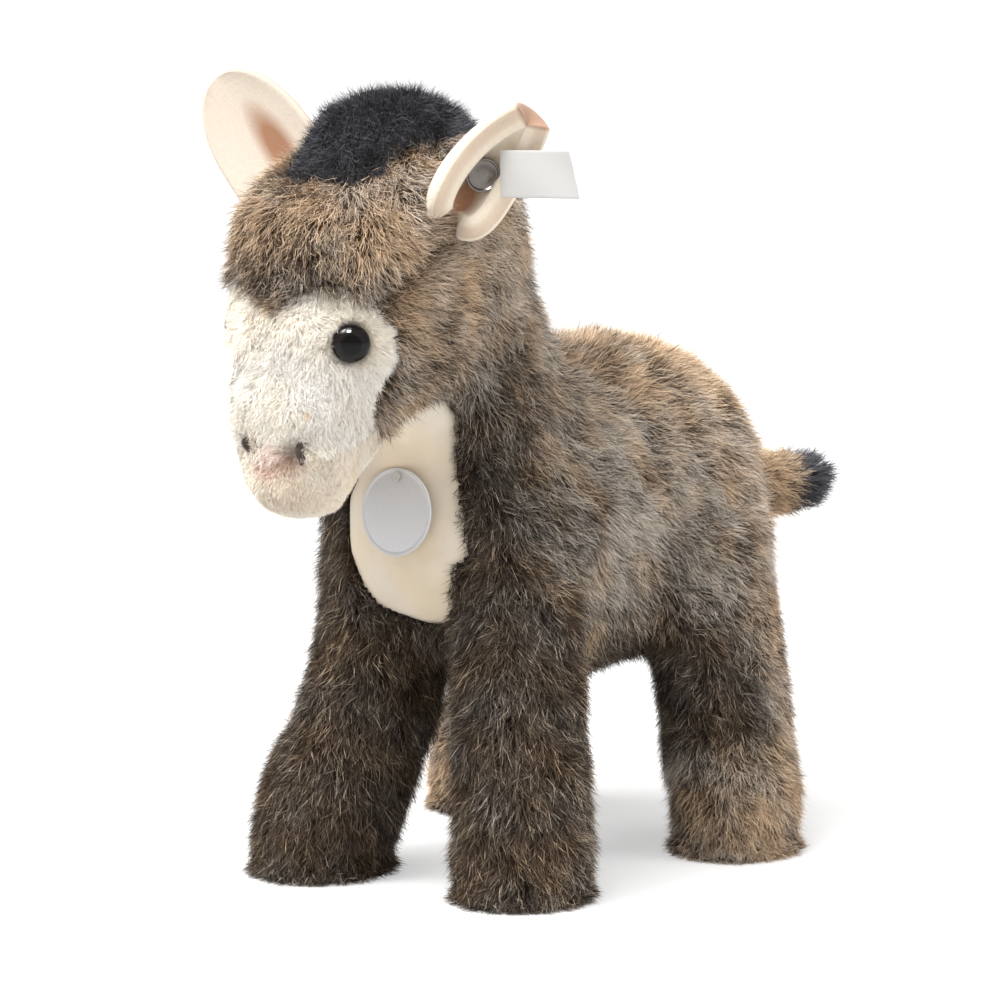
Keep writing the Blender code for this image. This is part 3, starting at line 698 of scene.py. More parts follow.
def pile_material(name, dark, light, warm_tint, mottled=(0.86, 1.12), stains=(), grain=0.0,
                  roughness=0.8, sheen=0.15, specular=0.25):  # fmt: skip
    """dark and light are colour stops from root to tip; warm_tint multiplies the colour where it is warm.

    Each stain is a soft round breath of colour at a place on the toy."""
    finish = {"Specular_IOR_Level": specular, "Sheen_Weight": sheen, "Sheen_Roughness": 0.5}
    material, tree, shader = new_material(name, light[-1][1], roughness, **finish)
    strand = add_node(tree, "Attribute", {}, attribute_name="strand")
    strand = add_node(tree, "SeparateColor", {"Color": strand.outputs["Color"]})
    ramps = [ramp(tree, strand.outputs["Red"], stops) for stops in (dark, light)]
    colour = mix(tree, strand.outputs["Green"], *ramps)
    tinted = mix(tree, 1.0, colour, (*warm_tint, 1.0), "MULTIPLY")
    colour = mix(tree, strand.outputs["Blue"], colour, tinted)
    mottle = remap(tree, noise(tree, MOTTLE_SCALE, 3.0), (0.3, 0.7), mottled)
    grey = add_node(tree, "CombineColor", {"Red": mottle, "Green": mottle, "Blue": mottle})
    colour = mix(tree, 1.0, colour, grey.outputs["Color"], "MULTIPLY")
    for place, reach, tint, strength in stains:
        away = distance_from(tree, Vector(place) * MM)
        breath = remap(tree, away, (0.0, reach * MM), (strength, 0.0), "SMOOTHSTEP")
        colour = mix(tree, breath, colour, (*tint, 1.0))
    tree.links.new(colour, shader.inputs["Base Color"])
    if grain:
        add_bump(tree, shader, noise(tree, GRAIN_SCALE, 3.0), grain, GRAIN_HEIGHT)
    return material


# %% Mix the four kinds of pile
MATERIALS = {
    "plush_brown": pile_material(
        "plush_brown_pile",
        [(0.0, (0.012, 0.008, 0.006)), (0.45, (0.022, 0.015, 0.011)), (1.0, (0.056, 0.038, 0.026))],
        [
            (0.0, (0.045, 0.032, 0.023)),
            (0.3, (0.24, 0.18, 0.13)),
            (0.55, (0.58, 0.49, 0.40)),
            (0.9, (0.97, 0.91, 0.82)),
        ],
        (1.06, 0.86, 0.65),
        sheen=0.03,
        specular=0.12,
    ),
    "plush_white": pile_material(
        "plush_white_pile",
        [(0.0, (0.94, 0.88, 0.79)), (1.0, (0.98, 0.95, 0.90))],
        [(0.0, (0.96, 0.92, 0.85)), (1.0, (1.0, 0.98, 0.94))],
        (1.0, 0.96, 0.89),
        mottled=(0.96, 1.04),
        sheen=0.4,
        stains=WHITE_STAINS,
    ),
    "plush_black": pile_material(
        "plush_black_pile",
        [(0.0, (0.006, 0.006, 0.009)), (0.6, (0.014, 0.014, 0.020)), (1.0, (0.040, 0.041, 0.052))],
        [(0.0, (0.010, 0.010, 0.015)), (0.4, (0.03, 0.03, 0.040)), (1.0, (0.15, 0.152, 0.170))],
        (1.0, 1.0, 1.0),
        roughness=0.5,
    ),
    "velour_cream": pile_material(
        "velour_cream_nap",
        [(0.0, (0.76, 0.67, 0.54)), (1.0, (0.79, 0.70, 0.575))],
        [(0.0, (0.90, 0.83, 0.73)), (1.0, (0.96, 0.90, 0.81))],
        (1.0, 0.95, 0.86),
        mottled=(0.97, 1.03),
        sheen=0.3,
        grain=0.5,
        stains=CREAM_STAINS,
    ),
}
print("pile materials:", ", ".join(MATERIALS))

# %% [markdown]
# ## Planting the pile
#
# Long pile is planted in tufts. A tuft has one root place and one direction, and a few strands whose tips
# lean together. A strand is a narrow kite that is bent once on its way to its tip, so it takes only two
# triangles. All the strands of a part are made at once as arrays of numbers, and handed to Blender as one
# mesh. The roots come from a seeded random draw over the skin, so each run gives the same coat.

# %% Draw the places of the tufts
TUFTS_DRAWN = 3.6  # tufts drawn on each square millimetre, of which each part keeps as many as it needs
BORDER_BLUR = 0.45  # millimetres by which the border between two kinds of pile wavers

mesh = skin.data
mesh.calc_loop_triangles()
corners = read(mesh.loop_triangles, "vertices", 3, np.int32)
map_corners = read(mesh.loop_triangles, "loops", 3, np.int32)
map_places = read(mesh.uv_layers[BAKE_MAP].data, "uv", 2)
sides = places[corners]
areas = np.linalg.norm(np.cross(sides[:, 1] - sides[:, 0], sides[:, 2] - sides[:, 0]), axis=1) / 2
rng = np.random.default_rng(20)
drawn = int(areas.sum() / MM**2 * TUFTS_DRAWN)
chosen = rng.choice(len(corners), drawn, p=areas / areas.sum())
split = rng.random((drawn, 2))
split[split.sum(axis=1) > 1] = 1 - split[split.sum(axis=1) > 1]
split = np.column_stack((1 - split.sum(axis=1), split))


def at_roots(values, index=corners):
    """A value of the skin's points, read at the root of every tuft."""
    picked = values[index[chosen]]
    if picked.ndim == 2:
        return np.sum(picked * split, axis=1)
    return np.sum(picked * split[:, :, None], axis=1)


tufts = {
    "root": at_roots(places),
    "normal": at_roots(outward),
    "comb": at_roots(comb),
    "light": at_roots(lightness),
    "warm": at_roots(warmth),
    "map": at_roots(map_places, map_corners),
    "depth": at_roots(depth),
    "short": at_roots(short),
}
tufts["normal"] /= np.linalg.norm(tufts["normal"], axis=1)[:, None]
tufts["comb"] = flat_on(tufts["comb"], tufts["normal"])
ragged = rng.normal(0.0, BORDER_BLUR * MM, (drawn, 3))
tufts["part"] = part_numbers(tufts["root"] + tufts["normal"] * tufts["depth"][:, None] + ragged)
print(drawn, "tufts drawn on", round(areas.sum() / MM**2), "square millimetres")

# %% [markdown]
# Nothing may grow through the eyes, so the tufts under an eye are left out, and those beside it lean away
# from its middle.

# %% Keep the pile off the eyes and the stitched nostrils
# how far round each piece is cleared, as a share of its half height
CLEARED = {"eye_left": 0.92, "eye_right": 0.75, "nostril_left": 0.5, "nostril_right": 0.2}
LEAN_REACH = 1.9
LEAN_PULL = 1.5

blocked = np.zeros(drawn, bool)
for node, share in CLEARED.items():
    middle, radius = middle_of(node)
    away = tufts["root"] - np.array(middle)
    distance = np.linalg.norm(away, axis=1)
    blocked |= distance < radius * share
    leaning = np.clip(LEAN_REACH - distance / radius, 0.0, 1.0)[:, None]
    outwards = flat_on(away, tufts["normal"])
    tufts["comb"] = flat_on(tufts["comb"] * (1 - leaning) + outwards * leaning * LEAN_PULL, tufts["normal"])
print(int(blocked.sum()), "tufts left out")

# %% [markdown]
# A strand lies along the comb and rises a little, or stands nearly straight up, or does something between
# the two. A tuft takes a small patch of the map at its root, and each of its strands a column of the patch.

# %% Make one mesh of strands
STRAND_STOPS = np.array([0.0, 0.45, 1.0])  # root, shoulder and tip
LYING = np.array([[0.0, 0.0], [0.34, 0.34], [0.87, 0.46]])  # along and up at each stop, for a length of one
STANDING = np.array([[0.0, 0.0], [0.07, 0.48], [0.26, 0.95]])
PATCH = 0.003  # of the map's width, for each tuft
FLOOR_CLEARANCE = 0.15 * MM


def rotated(vectors, axes, angles):
    """Vectors turned about unit axes that are square to them."""
    return vectors * np.cos(angles)[:, None] + np.cross(axes, vectors) * np.sin(angles)[:, None]


def strand_mesh(name, line, side, width, tone, patch):
    """One mesh of strands. line holds three points for each, and patch the corner of its map patch.

    A strand is a kite: its root, its two shoulders and its tip, in two triangles."""
    count = len(line)
    shoulder = side * width[:, None]
    points = np.stack((line[:, 0], line[:, 1] - shoulder, line[:, 1] + shoulder, line[:, 2]), axis=1)
    points[:, :, 2] = np.maximum(points[:, :, 2], FLOOR_CLEARANCE)
    along = STRAND_STOPS[[0, 1, 1, 2]]
    across = np.array([0.5, 0.0, 1.0, 0.5])
    corner_index = (np.arange(count)[:, None] * 4 + np.array([0, 2, 1, 1, 2, 3])).ravel()
    mesh = bpy.data.meshes.new(name)
    mesh.vertices.add(count * 4)
    mesh.vertices.foreach_set("co", points.astype(np.float32).ravel())
    mesh.loops.add(count * 6)
    mesh.loops.foreach_set("vertex_index", corner_index.astype(np.int32))
    mesh.polygons.add(count * 2)
    mesh.polygons.foreach_set("loop_start", np.arange(0, count * 6, 3, dtype=np.int32))
    mesh.polygons.foreach_set("use_smooth", np.ones(count * 2, bool))
    mesh.update(calc_edges=True)
    colours = np.ones((count, 4, 4), np.float32)
    colours[:, :, 0] = along
    colours[:, :, 1] = tone[:, :1]
    colours[:, :, 2] = tone[:, 1:]
    mesh.attributes.new("strand", "FLOAT_COLOR", "POINT").data.foreach_set("color", colours.ravel())
    spots = np.empty((count, 4, 2), np.float32)
    spots[:, :, 0] = patch[:, :1] + across * patch[:, 2:3]
    spots[:, :, 1] = patch[:, 1:2] + along * PATCH
    layer = mesh.uv_layers.new(name=BAKE_MAP)
    layer.data.foreach_set("uv", spots.reshape(-1, 2)[corner_index].astype(np.float32).ravel())
    obj = bpy.data.objects.new(name, mesh)
    bpy.context.scene.collection.objects.link(obj)
    return obj


# %% Plant the pile of one part
FROSTED_TONE = 0.88
DARK_TONE = 0.08
TONE_SPREAD = 0.14
WARMTH_SPREAD = 0.15
SHORT_BELOW = 34.0  # the pile grows shorter from half this height down to the feet
SWIRL_SIZE = 6.0
TUFT_LENGTHS = 0.10  # how much the tufts differ in length, and then the strands of a tuft
STRAND_LENGTHS = 0.14
ALL_ALONG = (-math.inf, math.inf)


def plant(name, node, style, slot, seed, stretch=ALL_ALONG):
    """Plants the pile of a solid part in one mesh. style is one row of STYLES, in millimetres."""
    rng = np.random.default_rng(seed)
    along = tufts["root"][:, 1] / MM
    kept = np.flatnonzero(
        (tufts["part"] == SOFT.index(node)) & ~blocked & (along >= stretch[0]) & (along < stretch[1])
    )
    kept = kept[rng.random(len(kept)) < style["tufts"] / TUFTS_DRAWN]
    strands = style["strands"]
    tuft = np.repeat(kept, strands)
    count = len(tuft)
    normal = tufts["normal"][tuft]

    def per_tuft(middle, spread):
        """A random value for each tuft, repeated for its strands."""
        return np.repeat(rng.normal(middle, spread, len(kept)), strands)

    # which way each strand lies, and where round its tuft's root it starts
    swirl = np.radians(style["swirl"])
    turn = swirl * soft_noise(tufts["root"][tuft], SWIRL_SIZE * MM, seed + 1) + per_tuft(0.0, swirl * 0.6)
    lie = rotated(tufts["comb"][tuft], normal, turn + rng.normal(0.0, swirl * 0.35, count))
    reach = np.sqrt(rng.random(count)) * style["spread"] * MM
    offset = rotated(lie, normal, rng.uniform(0.0, 2 * math.pi, count)) * reach[:, None]

    # how long each strand is, and how much it stands up
    share = per_tuft(1.0, TUFT_LENGTHS) * rng.normal(1.0, STRAND_LENGTHS, count)
    length = style["length"] * MM * np.clip(share, 0.5, 1.3)
    low_down = np.clip(0.5 + tufts["root"][tuft, 2] / (SHORT_BELOW * MM), 0.5, 1.0)
    length *= low_down * (1.0 - tufts["short"][tuft])
    stand = np.clip(rng.normal(style["stand"], style["stand_spread"], count), 0.0, 1.0)
    stand = np.clip(stand + per_tuft(0.0, style["stand_spread"] * 0.7), 0.0, 1.0)[:, None, None]
    shape = (LYING * (1 - stand) + STANDING * stand) * length[:, None, None]

    # the three points of each strand, with its root a little under the skin
    gather = 1.0 - style["gather"] * STRAND_STOPS
    line = tufts["root"][tuft][:, None] + offset[:, None] * gather[None, :, None]
    line = line + lie[:, None] * shape[:, :, :1] + normal[:, None] * shape[:, :, 1:]
    stray = rng.normal(0.0, style["frizz"] * MM, (count, 3))
    kink = rng.normal(0.0, style["frizz"] * 0.5 * MM, (count, 3))
    line[:, 2] += stray
    line[:, 1] += stray * 0.2 + kink
    line[:, 0] -= normal * style["set_in"] * MM

    # the way that its flat side looks, and its width
    axis = line[:, 2] - line[:, 0]
    axis /= np.linalg.norm(axis, axis=1)[:, None]
    side = flat_on(np.cross(normal, axis), axis)
    side = rotated(side, axis, rng.uniform(-1.0, 1.0, count) * style["roll"])
    width = style["width"] * MM / 2 * rng.uniform(0.75, 1.2, count)

    # its tone: the lightness of the coat is the share of strands that are frosted
    chance = tufts["light"][tuft] + per_tuft(0.0, TONE_SPREAD)
    light = np.where(rng.random(count) < chance, FROSTED_TONE, DARK_TONE)
    light = np.clip(light + rng.normal(0.0, style["fleck"], count), 0.0, 1.0)
    warm = np.clip(tufts["warm"][tuft] + rng.normal(0.0, WARMTH_SPREAD, count), 0.0, 1.0)

    cell = np.floor(tufts["map"][tuft] / PATCH) * PATCH
    column = PATCH / strands
    place_in_tuft = np.tile(np.arange(strands), len(kept))
    patch = np.column_stack((cell[:, 0] + place_in_tuft * column, cell[:, 1], np.full(count, column)))
    obj = strand_mesh(name, line, side, width, np.column_stack((light, warm)), patch)
    obj.data.materials.append(MATERIALS[slot])
    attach(obj, "root")
    print(f"{name}: {count} strands, {count * 2} triangles")


# %% [markdown]
# The parts differ in their pile. The brown coat is long and lies down. The face is short and fluffy, and the
# mane stands up in soft curls. The chin has a nap under two millimetres long that lies flat, and the bib is
# smooth velour, so nothing is planted there.

# %% The styles of pile
STYLES = {  # tufts on a square millimetre, strands in a tuft, sizes in millimetres, swirl in degrees
    "long": dict(tufts=1.6, strands=4, spread=0.9, length=7.6, width=0.18, stand=0.28, stand_spread=0.20,
                 gather=0.35, frizz=1.10, swirl=26.0, roll=0.9, set_in=0.3, fleck=0.14),
    "leg": dict(tufts=1.7, strands=4, spread=0.9, length=6.6, width=0.18, stand=0.23, stand_spread=0.18,
                gather=0.35, frizz=1.00, swirl=26.0, roll=0.9, set_in=0.3, fleck=0.14),
    "face": dict(tufts=3.5, strands=6, spread=0.8, length=3.3, width=0.17, stand=0.20, stand_spread=0.14,
                 gather=0.3, frizz=0.50, swirl=42.0, roll=0.6, set_in=0.25, fleck=0.3),
    "mane": dict(tufts=2.0, strands=5, spread=0.9, length=5.4, width=0.18, stand=0.60, stand_spread=0.25,
                 gather=0.35, frizz=1.00, swirl=60.0, roll=1.2, set_in=0.3, fleck=0.14),
    "nap": dict(tufts=3.5, strands=4, spread=0.5, length=1.8, width=0.16, stand=0.22, stand_spread=0.12,
                gather=0.0, frizz=0.25, swirl=30.0, roll=0.5, set_in=0.1, fleck=0.05),
}  # fmt: skip
print("styles:", ", ".join(STYLES))

# %% Plant every part
BACK_START = -18.0  # along Y, where the chest's pile ends and the back's starts
RUMP_START = 22.0
FIRST_SEED = 31
PILE = [  # the piece, its solid part, its style, its material, and its stretch along Y
    ("coat_head", "head", "long", "plush_brown", ALL_ALONG),
    ("coat_neck", "neck", "long", "plush_brown", ALL_ALONG),
    ("coat_chest", "trunk", "long", "plush_brown", (-math.inf, BACK_START)),
    ("coat_back", "trunk", "long", "plush_brown", (BACK_START, RUMP_START)),
    ("coat_rump", "trunk", "long", "plush_brown", (RUMP_START, math.inf)),
    *(("coat_" + leg, leg, "leg", "plush_brown", ALL_ALONG) for leg in LEGS),
    ("coat_tail", "tail", "leg", "plush_brown", ALL_ALONG),
    ("coat_tail_tip", "tail_tip", "leg", "plush_black", ALL_ALONG),
    ("coat_mane", "mane", "mane", "plush_black", ALL_ALONG),
    ("coat_face", "face_mask", "face", "plush_white", ALL_ALONG),
    ("nap_chin", "muzzle", "nap", "velour_cream", ALL_ALONG),
]
for seed, (name, node, style, slot, stretch) in enumerate(PILE, FIRST_SEED):
    plant(name, node, STYLES[style], slot, seed, stretch)

# %% [markdown]
# The skin carries the same attribute as the strands, held close to their roots, and one material for each
# colour of cloth.

# %% Colour the skin
SLOT_OF = {node: slot for _, node, _, slot, _ in PILE} | {"bib": "velour_cream"}
ROOT_SHADE = {"plush_brown": 0.12, "plush_white": 0.2, "plush_black": 0.1, "velour_cream": 0.75}

mesh = skin.data
for material in MATERIALS.values():
    mesh.materials.append(material)
shade_of_part = np.array([ROOT_SHADE[SLOT_OF[node]] for node in SOFT])
shade = shade_of_part[part_numbers(places + outward * depth[:, None])]
colours = np.column_stack((shade, lightness, warmth, np.ones(len(shade)))).astype(np.float32)
mesh.attributes.new("strand", "FLOAT_COLOR", "POINT").data.foreach_set("color", colours.ravel())
centres = read(mesh.polygons, "center", 3).astype(np.float64)
slot_of_part = np.array([list(MATERIALS).index(SLOT_OF[node]) for node in SOFT])
face_slots = slot_of_part[part_numbers(centres)]
mesh.polygons.foreach_set("material_index", face_slots.astype(np.int32))
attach(skin, "root")
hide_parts(*SOFT)
print("skin covers", len(SOFT), "solid parts")

# %% [markdown]
# ## Ears
#
# An ear is a leaf of velour, sewn double and turned, which cups towards its base. The right one stands
# open, and the left one is rolled almost shut. Each starts as a flat grid. Its rows run from the base to
# the tip, and each row is bent into an arc. Solidify gives it the thickness of two cloths and their
# seams, and a subdivision surface rounds the rim.
#
# The first cell gives each ear's measures, and the functions after it turn a place on the flat leaf into
# a place in space. The ear stud and its ribbon use them too, to find the floor of the left ear's hollow.

# %% Measure the ears
EARS = {  # places in mm; the azimuth is where its hollow looks to; curl in degrees at its base and tip
    "ear_right": {
        "base": (-18.2, -81.9, 196.3), "tip": (-55.4, -80.8, 231.8), "azimuth": 26.0,
        "half_width": 15.4, "taper": 0.0, "curl": (85.0, 50.0), "thick": 2.6, "bend": 2.0, "stem": 3.0,
        "rows": (0.05, 0.98),
    },
    "ear_left": {
        "base": (31.5, -82.5, 195.0), "tip": (56.0, -75.0, 223.0), "azimuth": 62.0,
        "half_width": 18.0, "taper": 0.5, "curl": (250.0, 200.0), "thick": 7.2, "bend": 7.0, "stem": 1.5,
        "rows": (0.05, 0.84),
    },
}
LEAF_FULLNESS = 2.4  # 2 makes an ellipse, and more makes the leaf blunter at both ends
LEAF_SKEW = 0.82  # below 1 brings the leaf's widest place nearer to its base


def ear_frame(name):
    """The ear's base, the line from there to its tip, the way its hollow looks, and its side."""
    ear = EARS[name]
    base = Vector(ear["base"])
    line = Vector(ear["tip"]) - base
    along = line.normalized()
    turn = math.radians(ear["azimuth"])
    look = Vector((math.sin(turn), -math.cos(turn), 0.0))
    look = (look - along * look.dot(along)).normalized()
    return base, line, look, along.cross(look)


def ear_middle(name, s):
    """A point of the ear's middle line, which bends back from the line between its ends."""
    base, line, look, _ = ear_frame(name)
    return base + line * s - look * (EARS[name]["bend"] * 4.0 * s * (1.0 - s))


def ear_floor(name, s, lift):
    """A point over the floor of the ear's hollow, and the way the floor looks there."""
    _, line, look, _ = ear_frame(name)
    slope = EARS[name]["bend"] * 4.0 * (1.0 - 2.0 * s)
    out = (look * line.length + line.normalized() * slope).normalized()
    return ear_middle(name, s) + out * lift, out


def ear_spot(name, across, s):
    """A point of the ear's leaf, with across from -1 to 1 and s from 0 at the base to 1 at the tip."""
    ear = EARS[name]
    _, _, look, side = ear_frame(name)
    blade = math.sqrt(max(0.0, 1.0 - abs(2.0 * s**LEAF_SKEW - 1.0) ** LEAF_FULLNESS))
    width = ear["half_width"] * blade * (1.0 - ear["taper"] * s) + ear["stem"] * (1.0 - s) ** 3
    curl_base, curl_tip = ear["curl"]
    curl = math.radians(curl_tip + (curl_base - curl_tip) * (1.0 - s) ** 2)
    angle = across * curl / 2.0
    spread = side * math.sin(angle) + look * (1.0 - math.cos(angle))
    return ear_middle(name, s) + spread * (2.0 * width / curl)


for name in EARS:
    print(name, round(ear_frame(name)[1].length, 1), "mm from base to tip")

# %% Shape the ears


def make_ear(name):
    """The leaf of an ear with its thickness."""
    choose_none()
    bpy.ops.mesh.primitive_grid_add(x_subdivisions=12, y_subdivisions=18, size=2.0)
    ear = bpy.context.object
    first, last = EARS[name]["rows"]
    for vert in ear.data.vertices:
        s = (1.0 - math.cos(math.pi * (first + (last - first) * (vert.co.y + 1.0) / 2.0))) / 2.0
        vert.co = ear_spot(name, vert.co.x, s) * MM
    add_modifier(ear, "SOLIDIFY", thickness=EARS[name]["thick"] * MM, offset=0.0)
    add_modifier(ear, "SUBSURF", levels=2, render_levels=2)
    apply_modifiers(ear)
    bpy.ops.object.shade_smooth()
    return ear


# %% [markdown]
# The velour of the ears is cream, with a soft brown fold airbrushed into the hollow, and a brown breath
# along its rim and at its tip. In the rolled ear the fold is also painted darker, as the shade in its
# hollow, and the open ear's cream is painted darker all over, as shade. The map of the flat leaf places
# all three: a stretched round gradient makes the fold, the distance from the leaf's middle makes the rim,
# and the way along the leaf makes the tip.

# %% Colour the ears
# the fold's brown is airbrushed, and dark enough to paint the shade in the rolled ear's hollow too
FOLD_BROWN_AND_SHADE = (0.28, 0.125, 0.06, 1.0)
RIM_BROWN = (0.42, 0.22, 0.12, 1.0)
TIP_BROWN = (0.30, 0.14, 0.07, 1.0)
RIM_START = 0.492  # of the leaf's width, from its middle, where its edge is at a half
RIM_STRENGTH = 0.35
# the open ear's cream is the rolled ear's cream painted darker, as shade
OPEN_EAR_SHADED_CREAM = (0.53, 0.45, 0.37, 1.0), (0.62, 0.54, 0.45, 1.0)
CREAM_SHADES = (0.74, 0.63, 0.49, 1.0), (0.86, 0.77, 0.64, 1.0)


def ear_material(name, fold, tip, shades):
    """fold is the fold's place, turn, size and strength on the leaf; tip is its own start and strength."""
    finish = {"Sheen_Weight": 0.3, "Specular_IOR_Level": 0.2}
    material, tree, shader = new_material(name, (0.86, 0.76, 0.62), 0.9, **finish)
    leaf = add_node(tree, "UVMap", {}, uv_map="UVMap").outputs["UV"]
    place, turn, size, strength = fold
    ellipse = {"Location": (*place, 0.0), "Rotation": (0.0, 0.0, math.radians(turn)), "Scale": (*size, 1.0)}
    mapped = add_node(tree, "Mapping", {"Vector": leaf, **ellipse}, vector_type="TEXTURE")
    spot = add_node(tree, "TexGradient", {"Vector": mapped.outputs["Vector"]}, gradient_type="SPHERICAL")
    soft = ramp(tree, spot.outputs["Fac"], [(0.0, (0.0, 0.0, 0.0)), (0.6, (strength, strength, strength))])
    fibre = noise(tree, 900.0, 3.0)
    colour = mix(tree, soft, mix(tree, fibre, *shades), FOLD_BROWN_AND_SHADE)
    split = add_node(tree, "SeparateXYZ", {"Vector": leaf})
    centred = add_node(tree, "Math", {0: split.outputs["X"], 1: 0.5}, operation="SUBTRACT")
    off_middle = add_node(tree, "Math", {0: centred.outputs["Value"]}, operation="ABSOLUTE").outputs["Value"]
    rim = remap(tree, off_middle, (RIM_START, 0.5), (0.0, RIM_STRENGTH), "SMOOTHSTEP")
    colour = mix(tree, rim, colour, RIM_BROWN)
    tip_start, tip_strength = tip
    end = remap(tree, split.outputs["Y"], (tip_start, 1.0), (0.0, tip_strength), "SMOOTHSTEP")
    tree.links.new(mix(tree, end, colour, TIP_BROWN), shader.inputs["Base Color"])
    add_bump(tree, shader, fibre, 0.35, 0.3 * MM)
    return material


OPEN_FOLD = ((0.58, 0.42), -12.0, (0.20, 0.28), 0.95)
# in the rolled ear, the fold also paints the shade in its hollow
ROLLED_FOLD_AND_SHADE = ((0.50, 0.20), 0.0, (0.42, 0.36), 0.95)
EAR_FINISH = {
    "ear_right": ear_material("velour_ear_open_shaded", OPEN_FOLD, (0.985, 1.0), OPEN_EAR_SHADED_CREAM),
    "ear_left": ear_material("velour_ear_rolled", ROLLED_FOLD_AND_SHADE, (0.940, 0.85), CREAM_SHADES),
}
for node, material in EAR_FINISH.items():
    ear = finish_piece(make_ear(node), "velour_" + node, material, node)
    print(ear.name, len(ear.data.polygons), "faces")

# %% [markdown]
# ## Eyes
#
# The eyes are glossy domes of dark plastic, brown at the rim and black in the middle, sunk in the pile.
# Each is a fine ball, flattened along the way that it looks.

# %% Make the eyes
EYE_TURN = 42.0
HEAD_ROLL = 4.0
EYE_DIAMETER = 10.5
EYE_DEPTH = 7.0
EYE_SUNK = {"eye_left": 0.0, "eye_right": 2.8}
EYE_RINGS = [  # from the middle of the front to the rim
    (0.0, (0.001, 0.001, 0.001)),
    (0.48, (0.001, 0.001, 0.001)),
    (0.62, (0.012, 0.010, 0.009)),
    (0.80, (0.009, 0.007, 0.006)),
    (1.0, (0.003, 0.002, 0.002)),
]


def eye_material(name, front):
    """Glossy plastic in rings round the middle of the eye's front."""
    material, tree, shader = new_material(name, (0.006, 0.004, 0.004), 0.05, Specular_IOR_Level=0.25)
    outwards = remap(tree, distance_from(tree, front), (0.0, EYE_DIAMETER / 2 * MM), (0.0, 1.0))
    tree.links.new(ramp(tree, outwards, EYE_RINGS), shader.inputs["Base Color"])
    return material


lean = Matrix.Rotation(math.radians(HEAD_ROLL), 3, "Y")
upright = Matrix.Rotation(math.radians(90), 3, "X")
for node, side in (("eye_left", 1), ("eye_right", -1)):
    turn = lean @ Matrix.Rotation(math.radians(side * EYE_TURN), 3, "Z") @ upright
    middle = middle_of(node)[0] - turn @ Vector((0, 0, EYE_SUNK[node] * MM))
    choose_none()
    bpy.ops.mesh.primitive_uv_sphere_add(segments=48, ring_count=24, radius=1.0, location=middle)
    eye = bpy.context.object
    eye.rotation_euler = turn.to_euler()
    eye.scale = Vector((EYE_DIAMETER / 2, EYE_DIAMETER / 2, EYE_DEPTH / 2)) * MM
    bpy.ops.object.shade_smooth()
    front = middle + (turn @ Vector((0, 0, 1))) * (EYE_DEPTH / 2 * MM)
    eye = finish_piece(eye, "glossy_" + node, eye_material("plastic_" + node, front), node)
    print(eye.name, "at", [round(v / MM, 1) for v in middle])

# %% [markdown]
# ## Nostrils
#
# Each nostril is a short upright row of satin stitches in dark brown thread. Each thread is a thin tube
# that dives into the cloth at both ends, and the threads are made one by one, side by side.

# %% Stitch the nostrils
THREADS = 5
THREAD_RADIUS = 0.42
THREAD_STEP = 0.9  # sideways, for half the row
THREAD_BOW = 1.6
NOSTRIL_SHARE = {"nostril_left": 1.1, "nostril_right": 0.6}  # of its solid's height
NOSTRIL_SHIFT = 1.6
NOSTRIL_SUNK = 0.6
NOSTRIL_LOOK = (0.37, 0.93)  # sideways and forwards, together one long


def grained(name, flat_colour, roughness, scale, detail, shades, relief=None, **sockets):
    """A finish that drifts between two shades, with a relief of the same pattern where one is given.

    Returns the material, its tree, its shader and the pattern."""
    material, tree, shader = new_material(name, flat_colour, roughness, **sockets)
    pattern = noise(tree, scale, detail)
    dark, light = shades
    tree.links.new(mix(tree, pattern, (*dark, 1.0), (*light, 1.0)), shader.inputs["Base Color"])
    if relief:
        strength, height = relief
        add_bump(tree, shader, pattern, strength, height * MM)
    return material, tree, shader, pattern


thread_brown, *_ = grained(
    "thread_dark_brown", (0.06, 0.030, 0.020), 0.7, 2600.0, 2.0,
    ((0.022, 0.010, 0.007), (0.07, 0.034, 0.022)), relief=(0.5, 0.2), Sheen_Weight=0.3,
)  # fmt: skip


def stitch_nostril(node, side):
    """A row of bowed threads, joined into one piece."""
    sideways, ahead = NOSTRIL_LOOK
    out = Vector((sideways * side, -ahead, 0.0))
    across = Vector((ahead, sideways * side, 0.0))
    middle, half = middle_of(node)
    middle = middle + across * (side * NOSTRIL_SHIFT * MM) - out * (NOSTRIL_SUNK * MM)
    threads = []
    for number in range(THREADS):
        place = (number / (THREADS - 1) - 0.5) * 2.0
        tall = half * NOSTRIL_SHARE[node] * math.sqrt(1.05 - place**2 * 0.7)
        choose_none()
        bpy.ops.mesh.primitive_cylinder_add(vertices=8, radius=THREAD_RADIUS * MM, depth=2.0 * tall)
        thread = bpy.context.object
        edit_all()
        bpy.ops.mesh.subdivide(number_cuts=5)
        leave_edit()
        for vert in thread.data.vertices:
            rise = vert.co.z / tall
            bow = THREAD_BOW * MM * (1.0 - rise**2) * (1.0 - 0.5 * place**2)
            aside = vert.co.x + (place + 0.5 * rise**2) * THREAD_STEP * MM
            spot = across * aside + out * (bow - vert.co.y)
            vert.co = middle + spot + Vector((0, 0, vert.co.z))
        threads.append(thread)
    choose(*threads)
    bpy.ops.object.join()
    edit_all()
    bpy.ops.mesh.normals_make_consistent(inside=False)
    leave_edit()
    bpy.ops.object.shade_smooth_by_angle(angle=math.radians(50))
    return finish_piece(bpy.context.object, "stitched_" + node, thread_brown, node)


for node, side in (("nostril_left", 1), ("nostril_right", -1)):
    print(stitch_nostril(node, side).name, THREADS, "threads")

# %% [markdown]
# ## Ear stud
#
# The stud is a small nickel disc with a rolled rim and a dished face. It starts as a cylinder. Its front
# face is inset in four steps, which leave a rim round a dish, and a bevel rounds every edge. Two helpers
# do this, because the ribbon, the card and its pin are finished in the same way.

# %% Make the ear stud
STUD_RADIUS = 4.8
STUD_THICK = 1.6
STUD_HEIGHT = 0.36  # along the ear, from its base
STUD_LIFT = 6.8  # over the floor of its hollow

